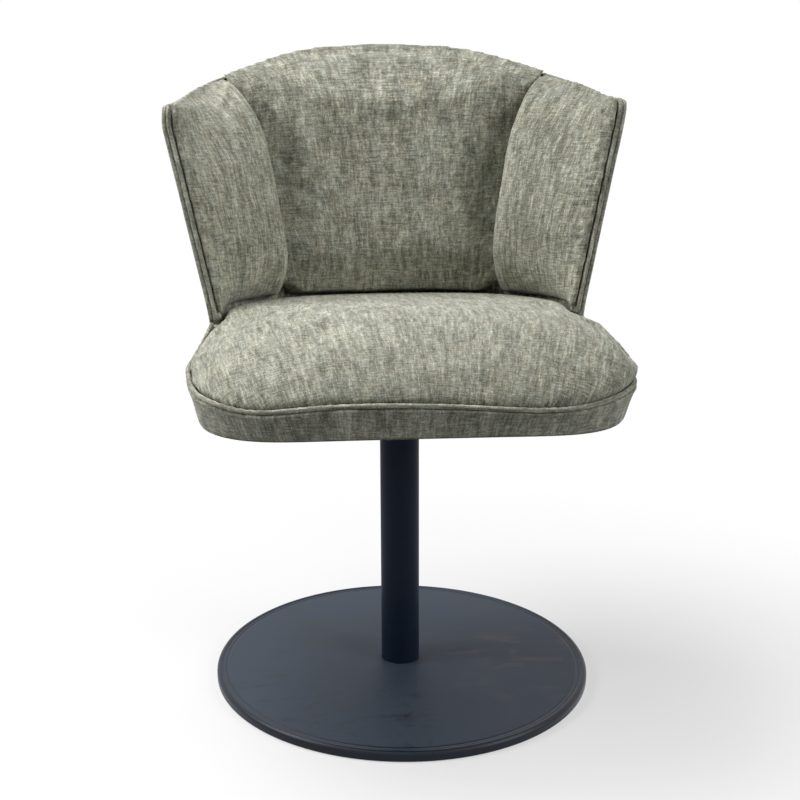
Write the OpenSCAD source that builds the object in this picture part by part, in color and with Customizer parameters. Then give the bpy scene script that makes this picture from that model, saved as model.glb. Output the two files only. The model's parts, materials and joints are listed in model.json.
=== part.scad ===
// Swivel dining chair: a padded tub seat on a fixed column and a flat round base.
// Millimetres. The floor is z = 0, the column's axis is the Z axis, and the chair faces -Y.

/* [Base] */
// Diameter of the round base
base_d = 488; // [400:1:600]
// Thickness of the soft floor pad
pad_t = 1.5; // [1:0.5:4]
// Distance from the edge of the base in to the edge of the floor pad
pad_edge = 9; // [6:1:30]
// Thickness of the steel weight plate
weight_t = 8; // [6:0.5:16]
// Distance from the edge of the base in to the edge of the weight plate
weight_edge = 12; // [8:1:40]
// Sheet thickness of the pressed base cover
cover_t = 1.5; // [1:0.1:2.5]
// Radius of the rolled rim of the base cover
rim_r = 4.6; // [3:0.1:7]
// Height of the rolled rim above the flat of the cover
rim_rise = 1; // [0:0.1:2]
// Height of the cover's lower edge above the floor
rim_lift = 1.2; // [0.5:0.1:3]
// Width of the pressed groove inside the rolled rim
groove_w = 5; // [3:0.5:10]
// Depth of the pressed groove inside the rolled rim
groove_depth = 0.5; // [0.2:0.1:1]

/* [Column] */
// Outer diameter of the column
column_d = 50; // [40:1:70]
// Wall of the column
column_wall = 2.5; // [1.5:0.5:4]
// Height of the column's upper end above the floor
column_top = 330; // [260:1:420]
// Diameter of the flange welded to the column's foot
flange_d = 120; // [100:1:180]
// Thickness of the flange
flange_t = 4; // [3:0.5:6]
// Diameter of the circle of the flange screws
flange_screw_circle = 90; // [76:1:140]
// Number of flange screws
flange_screw_n = 4; // [3:1:8]
// Shank diameter of a flange screw
flange_screw_d = 8; // [5:0.5:10]
// Head diameter of a flange screw
flange_head_d = 15; // [11:0.5:20]

/* [Swivel] */
// Length of the sleeve inside the column's upper end
sleeve_len = 108; // [80:1:160]
// Bore of the sleeve, which holds the two bushes
sleeve_bore = 32; // [29:0.5:38]
// Thickness of the sleeve's collar on the column's end
collar_t = 3; // [2:0.5:6]
// Diameter of the spindle
spindle_d = 25; // [18:0.5:27]
// Length of each plastic bush
bush_len = 25; // [15:1:40]
// Radial running clearance of the spindle in its bushes
bush_clear = 0.05; // [0.02:0.01:0.1]
// Outer diameter of the thrust bearing
bearing_d = 45; // [40:0.5:50]
// Thickness of each race of the thrust bearing
race_t = 2.5; // [1.5:0.1:4]
// Diameter of a bearing ball
ball_d = 4.8; // [4:0.1:6]
// Number of bearing balls
ball_n = 14; // [8:1:16]
// Thickness of the ball cage
cage_t = 2.4; // [1.5:0.1:3]
// Clearance between a ball and a race
race_clear = 0.03; // [0.02:0.01:0.1]
// Clearance between a ball and its pocket in the cage
pocket_clear = 0.1; // [0.05:0.01:0.2]
// Diameter of the hub under the swivel plate
hub_d = 48; // [40:1:60]
// Outer diameter of the retaining washer
retainer_d = 38; // [34:1:42]
// Thickness of the retaining washer
retainer_t = 2; // [1.5:0.1:3]
// Axial play between the sleeve and the retaining washer
end_play = 0.3; // [0.2:0.1:0.6]
// Outer diameter of the circlip
circlip_d = 33; // [29:0.5:40]
// Thickness of the circlip
circlip_t = 1.8; // [1.2:0.1:2.5]
// Depth of the circlip's groove in the spindle
circlip_groove = 1; // [0.6:0.1:1.5]
// Length of the spindle below the circlip
spindle_tail = 5; // [3:1:15]

/* [Swivel plate] */
// Side of the square swivel plate
plate_side = 190; // [160:1:240]
// Thickness of the swivel plate
plate_t = 4; // [3:0.5:6]
// Corner radius of the swivel plate
plate_corner = 18; // [5:1:30]
// Distance between two neighbouring plate bolts
plate_pitch = 150; // [120:1:200]
// Thickness of a stiffening web under the swivel plate
web_t = 4; // [3:0.5:6]
// Reach of a stiffening web out from the hub
web_reach = 44; // [20:1:60]
// Shank diameter of a plate bolt
bolt_d = 6; // [5:0.5:8]
// Head diameter of a plate bolt
bolt_head_d = 11; // [9:0.5:14]
// Head height of a plate bolt
bolt_head_t = 3.5; // [2.5:0.1:5]
// Outer diameter of a spring washer
washer_d = 12; // [10:0.5:16]
// Thickness of a spring washer
washer_t = 1.6; // [1:0.1:2.5]
// Flange diameter of a T-nut
tnut_d = 19; // [15:0.5:22]
// Flange thickness of a T-nut
tnut_t = 1.5; // [1:0.1:2]
// Barrel diameter of a T-nut
tnut_barrel_d = 9; // [8.6:0.1:11]
// Barrel length of a T-nut
tnut_barrel = 9; // [6:0.5:11]

/* [Seat] */
// Height of the seat's underside above the floor
seat_under = 368; // [364:1:430]
// Thickness of the dust cover under the seat
dust_t = 1; // [0.6:0.1:2]
// Thickness of the seat board
board_t = 15; // [12:0.5:20]
// Width of the seat
seat_w = 531; // [500:1:560]
// Distance of the seat's widest line in front of the column's axis
seat_mid = 55; // [45:1:65]
// Distance from the widest line to the seat's front edge
seat_front_len = 187; // [160:1:220]
// Distance from the widest line to the seat cushion's rear edge
seat_rear_len = 250; // [240:1:254]
// Share by which the seat is drawn in from its widest line to the wings
seat_draw_share = 0.095; // [0.09:0.001:0.12]
// Height of the front piping above the seat's underside
band_h = 37; // [30:1:50]
// Thickness of the padded band round the seat
band_t = 15; // [12:0.5:18]
// Distance by which the band is drawn in below the piping
band_draft = 6; // [2:0.5:7]
// Distance by which the band's lower edge is rolled in further
band_roll = 4; // [1:0.5:4.5]
// Rise of the piping from the front of the seat to its rear
rim_climb = 66; // [56:1:70]
// Height of the seat cushion's crown above the seat's underside
crown_h = 116; // [108:1:130]
// Diameter of the piping
piping_d = 6; // [4:0.5:8]

/* [Back] */
// Distance by which the back at the wings' feet stands in from the seat's drawn-in side
back_side_in = 4.3; // [2:0.1:8]
// Distance by which the back at the wings' feet stands behind the seat cushion's rear outline
back_rear_gap = 7; // [4:0.5:14]
// Height of the wings' feet above the floor
wing_foot = 466; // [464:1:474]
// Height of the wings' front corners above the floor
wing_corner = 726; // [660:1:780]
// Height of the shell's top edge above the floor, at the middle of the back
shell_top = 814; // [760:1:860]
// Distance of the wings' front edges behind the column's axis
wing_edge = 15; // [12:1:20]
// Thickness of the outer cover
skin_t = 4; // [3:0.5:6]
// Thickness of the moulded plywood shell
ply_t = 8; // [6:0.5:12]
// Thickness of the lining
lining_t = 3; // [2:0.5:5]
// Thickness of a wing cushion at its inner edge
wing_t = 60; // [40:1:70]
// Thickness of a wing cushion at its front edge
wing_nose_t = 9; // [6:0.5:16]
// Thickness of the back cushion
back_t = 56; // [40:1:66]
// Height of the wing cushions' tops above the shell
wing_over = 5; // [2:0.5:10]
// Height of the back cushion's top above the shell
back_over = 9; // [4:0.5:14]

/* [Cleats] */
// Width of an angle cleat
cleat_w = 30; // [20:1:36]
// Length of a cleat's leg on the seat board
cleat_foot = 22; // [18:1:24]
// Height of a cleat's leg on the shell
cleat_h = 42; // [30:1:60]
// Thickness of a cleat
cleat_t = 3; // [2:0.5:4]
// Shank diameter of a cleat screw
cleat_screw_d = 4; // [3:0.5:5]
// Head diameter of a cleat screw
cleat_head_d = 8; // [6:0.5:10]
// Head height of a cleat screw
cleat_head_t = 2.4; // [1.5:0.1:3]
// Depth to which a cleat screw enters the wood
cleat_screw_depth = 6; // [4:0.5:6.5]

/* [Hidden] */

// How finely the round pieces and the formed pieces are divided
round_fn = 96;
small_fn = 32;
seat_front_steps = 40;
seat_rear_steps = 12;
shell_steps = 30;
shell_rows = 10;
pad_steps = 14;
pad_rows = 10;
piping_sides = 8;
edge_piping_steps = 9;
corner_piping_steps = 6;

// Fits and clearances
cut_over = 1;
weld_fit = 0.02;
soft_gap = 0.3;
rest_gap = 1.2;

// Heights of the base and the swivel
weight_top = pad_t + weight_t;
cover_top = weight_top + cover_t;
rim_top = cover_top + rim_rise;
flange_low = weight_top - flange_t;
sleeve_low = column_top - sleeve_len;
collar_top = column_top + collar_t;
ball_z = collar_top + race_t + race_clear + ball_d/2;
upper_race_low = ball_z + ball_d/2 + race_clear;
hub_low = upper_race_low + race_t;
plate_low = seat_under - plate_t;
washer_top = sleeve_low - end_play;
circlip_top = washer_top - retainer_t;
circlip_low = circlip_top - circlip_t;
spindle_low = circlip_low - spindle_tail;
ball_circle_r = (bearing_d/2 + spindle_d/2 + bush_clear)/2;
cage_ring_w = ball_d + 2*cage_t*3/5;
race_bore_clear = 0.4;

// Heights of the seat
board_low = seat_under + dust_t;
board_top = board_low + board_t;
piping_z = seat_under + band_h;
crown_z = seat_under + crown_h;
bolt_low = plate_low - washer_t;

// Powers of the rounded outlines: 2 is an ellipse, more is squarer
seat_front_power = 3.1;
seat_rear_power = 2.6;
back_power = 2.35;
// Powers of the cushion's crown: flatness on top and steepness at the edge
crown_power = 4.1;
crown_edge_power = 1.6;
// Where the seat is drawn in and where its piping climbs, before the widest line and behind the wings' edges
draw_start = 20;
climb_start = 45;
climb_end = 35;
draw_from = -seat_mid - draw_start;
draw_to = wing_edge;
climb_from = -seat_mid - climb_start;
climb_to = wing_edge + climb_end;
// Wave of the front piping: up in the middle and down near the corners
wave_up = 6;
wave_down = 3;
wave_mid_w = 75;
wave_corner_x = 175;
wave_corner_w = 60;
wave_depth = 40;
// Slopes of the back per millimetre of height: sideways, backwards, and of its front edge
flare_share = 0.215;
recline_share = 0.16;
edge_lean_share = 0.1;
foot_flare_share = 0.05;
// Height over which the walls of the back bend, below and above the wings' feet
bend_h = 30;
// Power of the fall of the top edge from the middle of the back to the wings
top_power = 1.65;

// Half width of the back and its depth behind the wings' front edges, at the wings' feet
back_half_w = seat_w/2*(1 - seat_draw_share) - back_side_in;
back_depth = seat_rear_len - seat_mid - wing_edge + back_rear_gap;

// Layers of the back, as depths in from its outer face
ply_in = skin_t + soft_gap;
lining_in = ply_in + ply_t + soft_gap;
cushion_in = lining_in + lining_t + 2*soft_gap;
piping_r = piping_d/2;
piping_in = ply_in + ply_t + soft_gap;
piping_rise = piping_r + soft_gap;
wing_corner_r = 12;
shell_corner_r = wing_corner_r - piping_rise;

// Places of the plate bolts and of the cleats, as angles from the middle of the back
bolt_places = [for (sx = [-1, 1], sy = [-1, 1]) [sx*plate_pitch/2, sy*plate_pitch/2]];
cleat_angles = [-42, -15, 15, 42];
// How much more the back bends at the cleats than a circle of its depth does
cleat_bow_share = 1.4;
cleat_gap = 2;
cleat_seat = soft_gap + cleat_bow_share*cleat_w*cleat_w/(8*back_depth);

// Smooth step from 0 to 1, and a power that keeps the sign
function smooth(t) = let (c = min(max(t, 0), 1)) c*c*(3 - 2*c);
function spow(v, p) = sign(v)*pow(abs(v), p);
function unit(v) = v/norm(v);
function flat(rows) = [for (row = rows, p = row) p];

// Seat outline at angle a, share s of its size and inset i; 0 is to the right and 90 is to the rear
function seat_power(a) = sin(a) < 0 ? seat_front_power : seat_rear_power;
function seat_reach(a) = sin(a) < 0 ? seat_front_len : seat_rear_len;
function seat_y(a, s, i) = -seat_mid + (seat_reach(a) - i)*s*spow(sin(a), 2/seat_power(a));
function draw_in(y) = 1 - seat_draw_share*smooth((y - draw_from)/(draw_to - draw_from));
function seat_x(a, s, i) = (seat_w/2 - i)*s*spow(cos(a), 2/seat_power(a))*draw_in(seat_y(a, 1, i));
function rim_z(x, y) = piping_z + rim_climb*smooth((y - climb_from)/(climb_to - climb_from))
    + exp(-pow((y + seat_mid + seat_front_len)/wave_depth, 2))
    *(wave_up*exp(-pow(x/wave_mid_w, 2)) - wave_down*exp(-pow((abs(x) - wave_corner_x)/wave_corner_w, 2)));
function seat_rim(a) = rim_z(seat_x(a, 1, 0), seat_y(a, 1, 0));
// How much longer the piping is than its plan where it climbs, so that gaps hold square to it
function climb_stretch(y) = let (c = min(max((y - climb_from)/(climb_to - climb_from), 0), 1))
    norm([1, 6*c*(1 - c)*rim_climb/(climb_to - climb_from)]);
// The cushion is inset a little at the piping, and more where it goes in between the wings
tuck_len = 35;
tuck_gap = 2;
cushion_lap = 1;
tuck_from = wing_edge - tuck_len;
cushion_inset = piping_r + cushion_lap;
function cushion_tuck(y) = cushion_inset
    + (cushion_in + tuck_gap - cushion_inset)*smooth((y - tuck_from)/(wing_edge - soft_gap - tuck_from));
function cushion_i(a) = cushion_tuck(seat_y(a, 1, 0));
function crown_share(s) = pow(max(1 - pow(min(s, 1), crown_power), 0), 1/crown_edge_power);
crown_rise = piping_rise + 2*soft_gap;
function crown_at(a, s) = let (z = seat_rim(a) + crown_rise*climb_stretch(seat_y(a, 1, 0)))
    z + (crown_z - z)*crown_share(s);
function cushion_pt(a, s) = [seat_x(a, s, cushion_i(a)), seat_y(a, s, cushion_i(a)), crown_at(a, s)];
// Height of the cushion's crown under a point, by finding the point's share s and angle
function seat_gauge(x, y, d) = let (p = seat_rear_power, i = cushion_tuck(y))
    pow(pow(abs(x)/((seat_w/2 - i)*d), p) + pow(abs(y + seat_mid)/(seat_rear_len - i), p), 1/p);
function seat_top(x, y) = let (s1 = seat_gauge(x, y, draw_in(y)), y1 = -seat_mid + (y + seat_mid)/s1,
    s2 = seat_gauge(x, y, draw_in(y1)), y2 = -seat_mid + (y + seat_mid)/s2,
    y3 = -seat_mid + (y2 + seat_mid)*seat_rear_len/(seat_rear_len - cushion_tuck(y2)),
    z = rim_z(0, max(y, y3)) + crown_rise*climb_stretch(max(y, y3)))
    s2 >= 1 ? z : z + (crown_z - z)*crown_share(s2);

// Back shell: point at angle a from the middle of the back, height z and depth w in from its outer face
function bend(z) = let (t = z - wing_foot) t <= -bend_h ? 0 : t >= bend_h ? t : pow(t + bend_h, 2)/(4*bend_h);
function slope_out(z, k) = foot_flare_share*(z - wing_foot) + (k - foot_flare_share)*bend(z);
function back_x_reach(z, w) = back_half_w + slope_out(z, flare_share) - w;
function back_y_reach(z, w) = back_depth + slope_out(z, recline_share) - w;
function edge_y(z) = wing_edge + edge_lean_share*bend(z);
function back_pt(a, z, w) = [back_x_reach(z, w)*spow(sin(a), 2/back_power),
    edge_y(z) + back_y_reach(z, w)*spow(cos(a), 2/back_power), z];
function corner_drop(e) = e > shell_corner_r ? 0
    : shell_corner_r - sqrt(max(shell_corner_r*shell_corner_r - pow(shell_corner_r - e, 2), 0));
function corner_e(a) = back_y_reach(wing_corner, piping_in)*pow(abs(cos(a)), 2/back_power);
function top_z(a) = wing_corner + (shell_top - wing_corner)*pow(abs(cos(a)), top_power)
    - corner_drop(corner_e(a));
// Point at a distance e behind the front edge of the wing on side k, at height z and depth w
function edge_pt(k, e, z, w) = e < 0 ? [k*back_x_reach(z, w), edge_y(z) + e, z]
    : back_pt(k*acos(pow(e/back_y_reach(z, w), back_power/2)), z, w);

// Inner edge of the wings, as an angle from the middle of the back at share h of the height
function wing_inner(h) = 38.5 + 9*h*h + 5*pow(1 - h, 3);
wing_split = 1.1;

// Two triangles for each cell of a grid of rows by columns whose first point has number f
function cell(a, b, c, d) = [[a, b, c], [a, c, d]];
function grid_faces(f, rows, cols, turn) = flat([for (i = [0:rows - 2], j = [0:cols - 2])
    let (a = f + i*cols + j, b = a + 1, c = a + cols + 1, d = a + cols)
    turn ? cell(a, b, c, d) : cell(a, d, c, b)]);
// A closed slab between two grids: seen from the near one, rows run to the right and columns up
module slab(far, near) {
    rows = len(far);
    cols = len(far[0]);
    n = rows*cols;
    ends = flat([for (i = [0:rows - 2]) concat(
        cell(i*cols, n + i*cols, n + (i + 1)*cols, (i + 1)*cols),
        cell((i + 1)*cols + cols - 1, n + (i + 1)*cols + cols - 1, n + i*cols + cols - 1, i*cols + cols - 1))]);
    sides = flat([for (j = [0:cols - 2]) concat(
        cell(j + 1, n + j + 1, n + j, j),
        cell(n - cols + j, 2*n - cols + j, 2*n - cols + j + 1, n - cols + j + 1))]);
    polyhedron(points = concat(flat(far), flat(near)),
        faces = concat(grid_faces(0, rows, cols, false), grid_faces(n, rows, cols, true), ends, sides));
}

// A closed form of rings of points, with a centre point at each end
module rings_form(rings) {
    rows = len(rings);
    n = len(rings[0]);
    total = rows*n;
    ones = [for (k = [1:n]) 1/n];
    skin = flat([for (i = [0:rows - 2], k = [0:n - 1])
        let (a = i*n + k, b = i*n + (k + 1)%n) cell(a, a + n, b + n, b)]);
    low_cap = [for (k = [0:n - 1]) [k, (k + 1)%n, total]];
    high_cap = [for (k = [0:n - 1]) [total - n + (k + 1)%n, total - n + k, total + 1]];
    polyhedron(points = concat(flat(rings), [ones*rings[0], ones*rings[rows - 1]]),
        faces = concat(skin, low_cap, high_cap));
}
// A round tube of radius r along a path, with one side turned to each point's direction in outs
module swept_tube(path, outs, r) {
    last = len(path) - 1;
    rings_form([for (i = [0:last])
        let (t = unit(path[min(i + 1, last)] - path[max(i - 1, 0)]), u = unit(outs[i] - (outs[i]*t)*t),
            v = cross(t, u))
        [for (k = [0:piping_sides - 1]) let (q = 360*k/piping_sides) path[i] + r*(cos(q)*u + sin(q)*v)]]);
}
// A ring of outer radius r and inner radius b between two heights
module ring(r, b, low, high) {
    translate([0, 0, low]) difference() {
        cylinder(r = r, h = high - low, $fn = round_fn);
        translate([0, 0, -cut_over]) cylinder(r = b, h = high - low + 2*cut_over, $fn = round_fn);
    }
}

module floor_pad() {
    color([0.1, 0.1, 0.11]) cylinder(d = base_d - 2*pad_edge, h = pad_t, $fn = round_fn);
}

// Places the children at each flange screw
module at_flange_screws() {
    for (k = [0:flange_screw_n - 1]) rotate(360*(k + 0.5)/flange_screw_n)
        translate([flange_screw_circle/2, 0, pad_t]) children();
}
module flange_screw(clear, over) {
    head_h = (flange_head_d - flange_screw_d)/2;
    cylinder(d1 = flange_head_d + 2*clear, d2 = flange_screw_d + 2*clear, h = head_h, $fn = small_fn);
    cylinder(d = flange_screw_d + 2*clear, h = weight_t - flange_t/4 + over, $fn = small_fn);
}
module base_weight() {
    color([0.22, 0.23, 0.25]) difference() {
        translate([0, 0, pad_t]) cylinder(d = base_d - 2*weight_edge, h = weight_t, $fn = round_fn);
        translate([0, 0, flange_low])
            cylinder(d = flange_d + 2*weld_fit, h = flange_t + cut_over, $fn = round_fn);
        at_flange_screws() flange_screw(weld_fit, cut_over);
    }
}

// The cover's section: the flat with its groove, then the rolled rim, then the underside back again
module cover_section() {
    r_end = base_d/2;
    r_mid = r_end - rim_r;
    z_mid = rim_top - rim_r;
    turn_out = 180 - asin((cover_top - z_mid)/rim_r);
    turn_in = 180 - asin((weight_top - z_mid)/(rim_r - cover_t));
    r_groove = r_mid + rim_r*cos(turn_out) - groove_w;
    polygon(concat(
        [[column_d/2 + race_bore_clear, weight_top], [column_d/2 + race_bore_clear, cover_top]],
        [for (k = [-4:4]) [r_groove + k*groove_w/8, cover_top - groove_depth*(1 + cos(45*k))/2]],
        [for (k = [0:10]) let (q = turn_out*(1 - k/10)) [r_mid + rim_r*cos(q), z_mid + rim_r*sin(q)]],
        [[r_end, rim_lift], [r_end - cover_t, rim_lift]],
        [for (k = [0:10]) let (q = turn_in*k/10)
            [r_mid + (rim_r - cover_t)*cos(q), z_mid + (rim_r - cover_t)*sin(q)]]));
}
module base_cover() {
    color([0.22, 0.26, 0.32]) rotate_extrude($fn = round_fn) cover_section();
}

module column_flange() {
    color([0.3, 0.31, 0.33]) difference() {
        translate([0, 0, flange_low]) cylinder(d = flange_d, h = flange_t, $fn = round_fn);
        at_flange_screws() flange_screw(weld_fit, cut_over);
    }
}
module flange_screws() {
    color("silver") at_flange_screws() flange_screw(0, 0);
}
module column_tube() {
    color([0.08, 0.11, 0.16]) ring(column_d/2, column_d/2 - column_wall, weight_top, column_top);
}

module swivel_sleeve() {
    color("darkgray") union() {
        ring(column_d/2 - column_wall - weld_fit, sleeve_bore/2, sleeve_low, column_top + collar_t/2);
        ring(column_d/2, sleeve_bore/2, column_top, collar_top);
    }
}
module bush(low) {
    color("ivory") ring(sleeve_bore/2 - weld_fit, spindle_d/2 + bush_clear, low, low + bush_len);
}
module upper_bush() { bush(collar_top - bush_len); }
module lower_bush() { bush(sleeve_low); }
module race(low) {
    color("gainsboro") ring(bearing_d/2, spindle_d/2 + race_bore_clear, low, low + race_t);
}
module lower_race() { race(collar_top); }
module upper_race() { race(upper_race_low); }
module at_balls() {
    for (k = [0:ball_n - 1]) rotate(360*k/ball_n) translate([ball_circle_r, 0, ball_z]) children();
}
module ball_cage() {
    color("goldenrod") difference() {
        translate([0, 0, ball_z])
            ring(ball_circle_r + cage_ring_w/2, ball_circle_r - cage_ring_w/2, -cage_t/2, cage_t/2);
        at_balls() cylinder(d = ball_d + 2*pocket_clear, h = 2*cage_t, center = true, $fn = small_fn);
    }
}
module thrust_balls() {
    color("silver") at_balls() sphere(d = ball_d, $fn = small_fn);
}
module spindle() {
    color("silver") difference() {
        translate([0, 0, spindle_low]) cylinder(d = spindle_d, h = plate_low - spindle_low, $fn = round_fn);
        ring(spindle_d/2 + cut_over, spindle_d/2 - circlip_groove,
            circlip_low - weld_fit, circlip_top + weld_fit);
    }
}
module retaining_washer() {
    color("gray") ring(retainer_d/2, spindle_d/2 + weld_fit, circlip_top, washer_top);
}
module circlip() {
    color("dimgray") difference() {
        ring(circlip_d/2, spindle_d/2 - circlip_groove + weld_fit, circlip_low, circlip_top);
        translate([0, -spindle_d/4, circlip_low - cut_over])
            cube([circlip_d, spindle_d/2, circlip_t + 2*cut_over]);
    }
}

module at_bolts(z) {
    for (p = bolt_places) translate([p.x, p.y, z]) children();
}
module plate_outline() {
    half = plate_side/2 - plate_corner;
    union() {
        square([plate_side, 2*half], center = true);
        square([2*half, plate_side], center = true);
        for (sx = [-1, 1], sy = [-1, 1]) translate([sx*half, sy*half])
            circle(r = plate_corner, $fn = small_fn);
    }
}
module swivel_plate() {
    hub_h = plate_low - hub_low;
    color([0.1, 0.11, 0.13]) difference() {
        union() {
            translate([0, 0, plate_low]) linear_extrude(plate_t) plate_outline();
            translate([0, 0, hub_low]) cylinder(d = hub_d, h = hub_h + plate_t/2, $fn = round_fn);
            for (k = [0:3]) rotate(90*k) translate([0, web_t/2, plate_low + plate_t/2]) rotate([90, 0, 0])
                linear_extrude(web_t) polygon([[hub_d/4, 0], [hub_d/2 + web_reach, 0],
                    [hub_d/2 + web_reach, -plate_t], [hub_d/2, -hub_h*4/5], [hub_d/4, -hub_h*4/5]]);
        }
        translate([0, 0, hub_low - cut_over])
            cylinder(r = spindle_d/2 + weld_fit, h = hub_h + cut_over, $fn = round_fn);
        at_bolts(plate_low - cut_over)
            cylinder(r = bolt_d/2 + weld_fit, h = plate_t + 2*cut_over, $fn = small_fn);
    }
}
module plate_bolts() {
    color("silver") at_bolts(bolt_low) {
        cylinder(d = bolt_d, h = board_top - tnut_t - bolt_low, $fn = small_fn);
        difference() {
            translate([0, 0, -bolt_head_t])
                cylinder(d1 = bolt_head_d*4/5, d2 = bolt_head_d, h = bolt_head_t, $fn = small_fn);
            translate([0, 0, -bolt_head_t - cut_over])
                cylinder(d = bolt_d*2/3, h = bolt_head_t/2 + cut_over, $fn = 6);
        }
    }
}
module spring_washers() {
    color("gray") at_bolts(bolt_low) difference() {
        cylinder(d = washer_d, h = washer_t, $fn = small_fn);
        translate([0, 0, -cut_over])
            cylinder(r = bolt_d/2 + weld_fit, h = washer_t + 2*cut_over, $fn = small_fn);
        translate([0, -washer_t/4, -cut_over]) cube([washer_d, washer_t/2, washer_t + 2*cut_over]);
    }
}
module t_nuts() {
    color("silver") at_bolts(board_top) difference() {
        union() {
            translate([0, 0, -tnut_t]) cylinder(d = tnut_d, h = tnut_t, $fn = small_fn);
            translate([0, 0, -tnut_t - tnut_barrel])
                cylinder(d = tnut_barrel_d, h = tnut_barrel + tnut_t/2, $fn = small_fn);
        }
        translate([0, 0, -tnut_t - tnut_barrel - cut_over])
            cylinder(r = bolt_d/2 + weld_fit, h = tnut_barrel + tnut_t + 2*cut_over, $fn = small_fn);
    }
}

// Angle past the side at which the seat's outline reaches a place y behind its widest line
function side_angle(y) = asin(pow((y + seat_mid)/seat_rear_len, seat_rear_power/2));
band_end = side_angle(wing_edge - soft_gap);
piping_end = side_angle(wing_edge - piping_d - soft_gap);
// Angles round the front of the seat between the wings, and those round its rear
front_angles = [for (k = [0:seat_front_steps]) 180 - band_end + (180 + 2*band_end)*k/seat_front_steps];
rear_angles = [for (k = [1:seat_rear_steps - 1]) band_end + (180 - 2*band_end)*k/seat_rear_steps];
seat_angles = concat(front_angles, rear_angles);
module board_outline() {
    i = band_t + soft_gap;
    polygon(concat(
        [for (a = front_angles) [seat_x(a, 1, i), seat_y(a, 1, i)]],
        [for (k = [0:shell_steps]) let (p = back_pt(90 - 180*k/shell_steps, board_low, lining_in))
            [p.x, p.y]]));
}
module seat_board() {
    color("burlywood") difference() {
        translate([0, 0, board_low]) linear_extrude(board_t) board_outline();
        at_bolts(board_low - cut_over)
            cylinder(r = tnut_barrel_d/2 + weld_fit, h = board_t + 2*cut_over, $fn = small_fn);
        at_bolts(board_top - tnut_t) cylinder(r = tnut_d/2 + weld_fit, h = tnut_t + cut_over, $fn = small_fn);
        at_cleats() translate([0, -foot_screw_y, -cleat_screw_depth - weld_fit])
            cylinder(r = cleat_screw_d/2 + weld_fit, h = cleat_screw_depth + cut_over, $fn = small_fn);
    }
}
module dust_cover() {
    color([0.12, 0.12, 0.12]) difference() {
        translate([0, 0, seat_under]) linear_extrude(dust_t) board_outline();
        at_bolts(seat_under - cut_over)
            cylinder(r = bolt_d/2 + weld_fit, h = dust_t + 2*cut_over, $fn = small_fn);
    }
}

// Share of the band's height at each of its rows
band_shares = [0, 0.12, 0.3, 0.55, 0.8, 1];
function band_pt(a, h, i) = let (x = seat_x(a, 1, i), y = seat_y(a, 1, i))
    [x, y, seat_under + h*(seat_rim(a) - piping_rise*climb_stretch(seat_y(a, 1, 0)) - seat_under)];
module seat_band() {
    color([0.5, 0.52, 0.44]) slab(
        [for (a = front_angles) [for (h = band_shares) band_pt(a, h, band_t)]],
        [for (a = front_angles) [for (h = band_shares)
            band_pt(a, h, band_draft*(1 - pow(h, 3)) + band_roll*pow(1 - h, 3))]]);
}
module seat_piping() {
    i = piping_r + soft_gap;
    angles = [for (a = front_angles) min(max(a, 180 - piping_end), 360 + piping_end)];
    color([0.55, 0.57, 0.48]) swept_tube(
        [for (a = angles) [seat_x(a, 1, i), seat_y(a, 1, i), seat_rim(a)]],
        [for (a = angles) [seat_x(a, 1, 0), seat_y(a, 1, 0) + seat_mid, 0]], piping_r);
}
// Shares of the cushion's size at each ring of its crown
crown_shares = [1, 0.975, 0.94, 0.89, 0.82, 0.72, 0.58, 0.4, 0.2];
module seat_cushion() {
    angles = seat_angles;
    color([0.62, 0.63, 0.54]) rings_form(concat(
        [[for (a = angles)
            let (i = max(band_t + soft_gap, cushion_i(a) + (cleat_foot + cleat_gap)*max(sin(a), 0)))
            [seat_x(a, 1, i), seat_y(a, 1, i), board_top + soft_gap]]],
        [[for (a = angles) let (i = max(band_t + soft_gap, cushion_i(a) + skin_t))
            [seat_x(a, 1, i), seat_y(a, 1, i), seat_rim(a) - piping_rise + soft_gap]]],
        [[for (a = angles) let (i = cushion_i(a) + piping_r + cushion_lap)
            [seat_x(a, 1, i), seat_y(a, 1, i), seat_rim(a)]]],
        [for (s = crown_shares) [for (a = angles) cushion_pt(a, s)]]));
}

// Rows of a layer of the back: its lower edge, then five rows round the bend, then up to the top edge
foot_row = 3;
bend_rows = 5;
function layer_z(a, j, low) = j == 0 ? low : j <= bend_rows ? wing_foot + bend_h*(j - foot_row)/2
    : wing_foot + bend_h + (top_z(a) - wing_foot - bend_h)*(j - bend_rows)/(shell_rows - 1 - bend_rows);
function corner_angle(e) = acos(pow(e/back_y_reach(wing_corner, piping_in), back_power/2));
corner_angles = [for (k = [0:2]) corner_angle(shell_corner_r*(1 - cos(45*k)))];
wall_angles = concat([for (a = corner_angles) -a], [for (k = [1:shell_steps - 1]) 180*k/shell_steps - 90],
    [for (k = [2:-1:0]) corner_angles[k]]);
module back_layer(in, out, low, first) {
    angles = wall_angles;
    slab([for (a = angles) [for (j = [first:shell_rows - 1]) back_pt(a, layer_z(a, j, low), out)]],
        [for (a = angles) [for (j = [first:shell_rows - 1]) back_pt(a, layer_z(a, j, low), in)]]);
}
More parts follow.
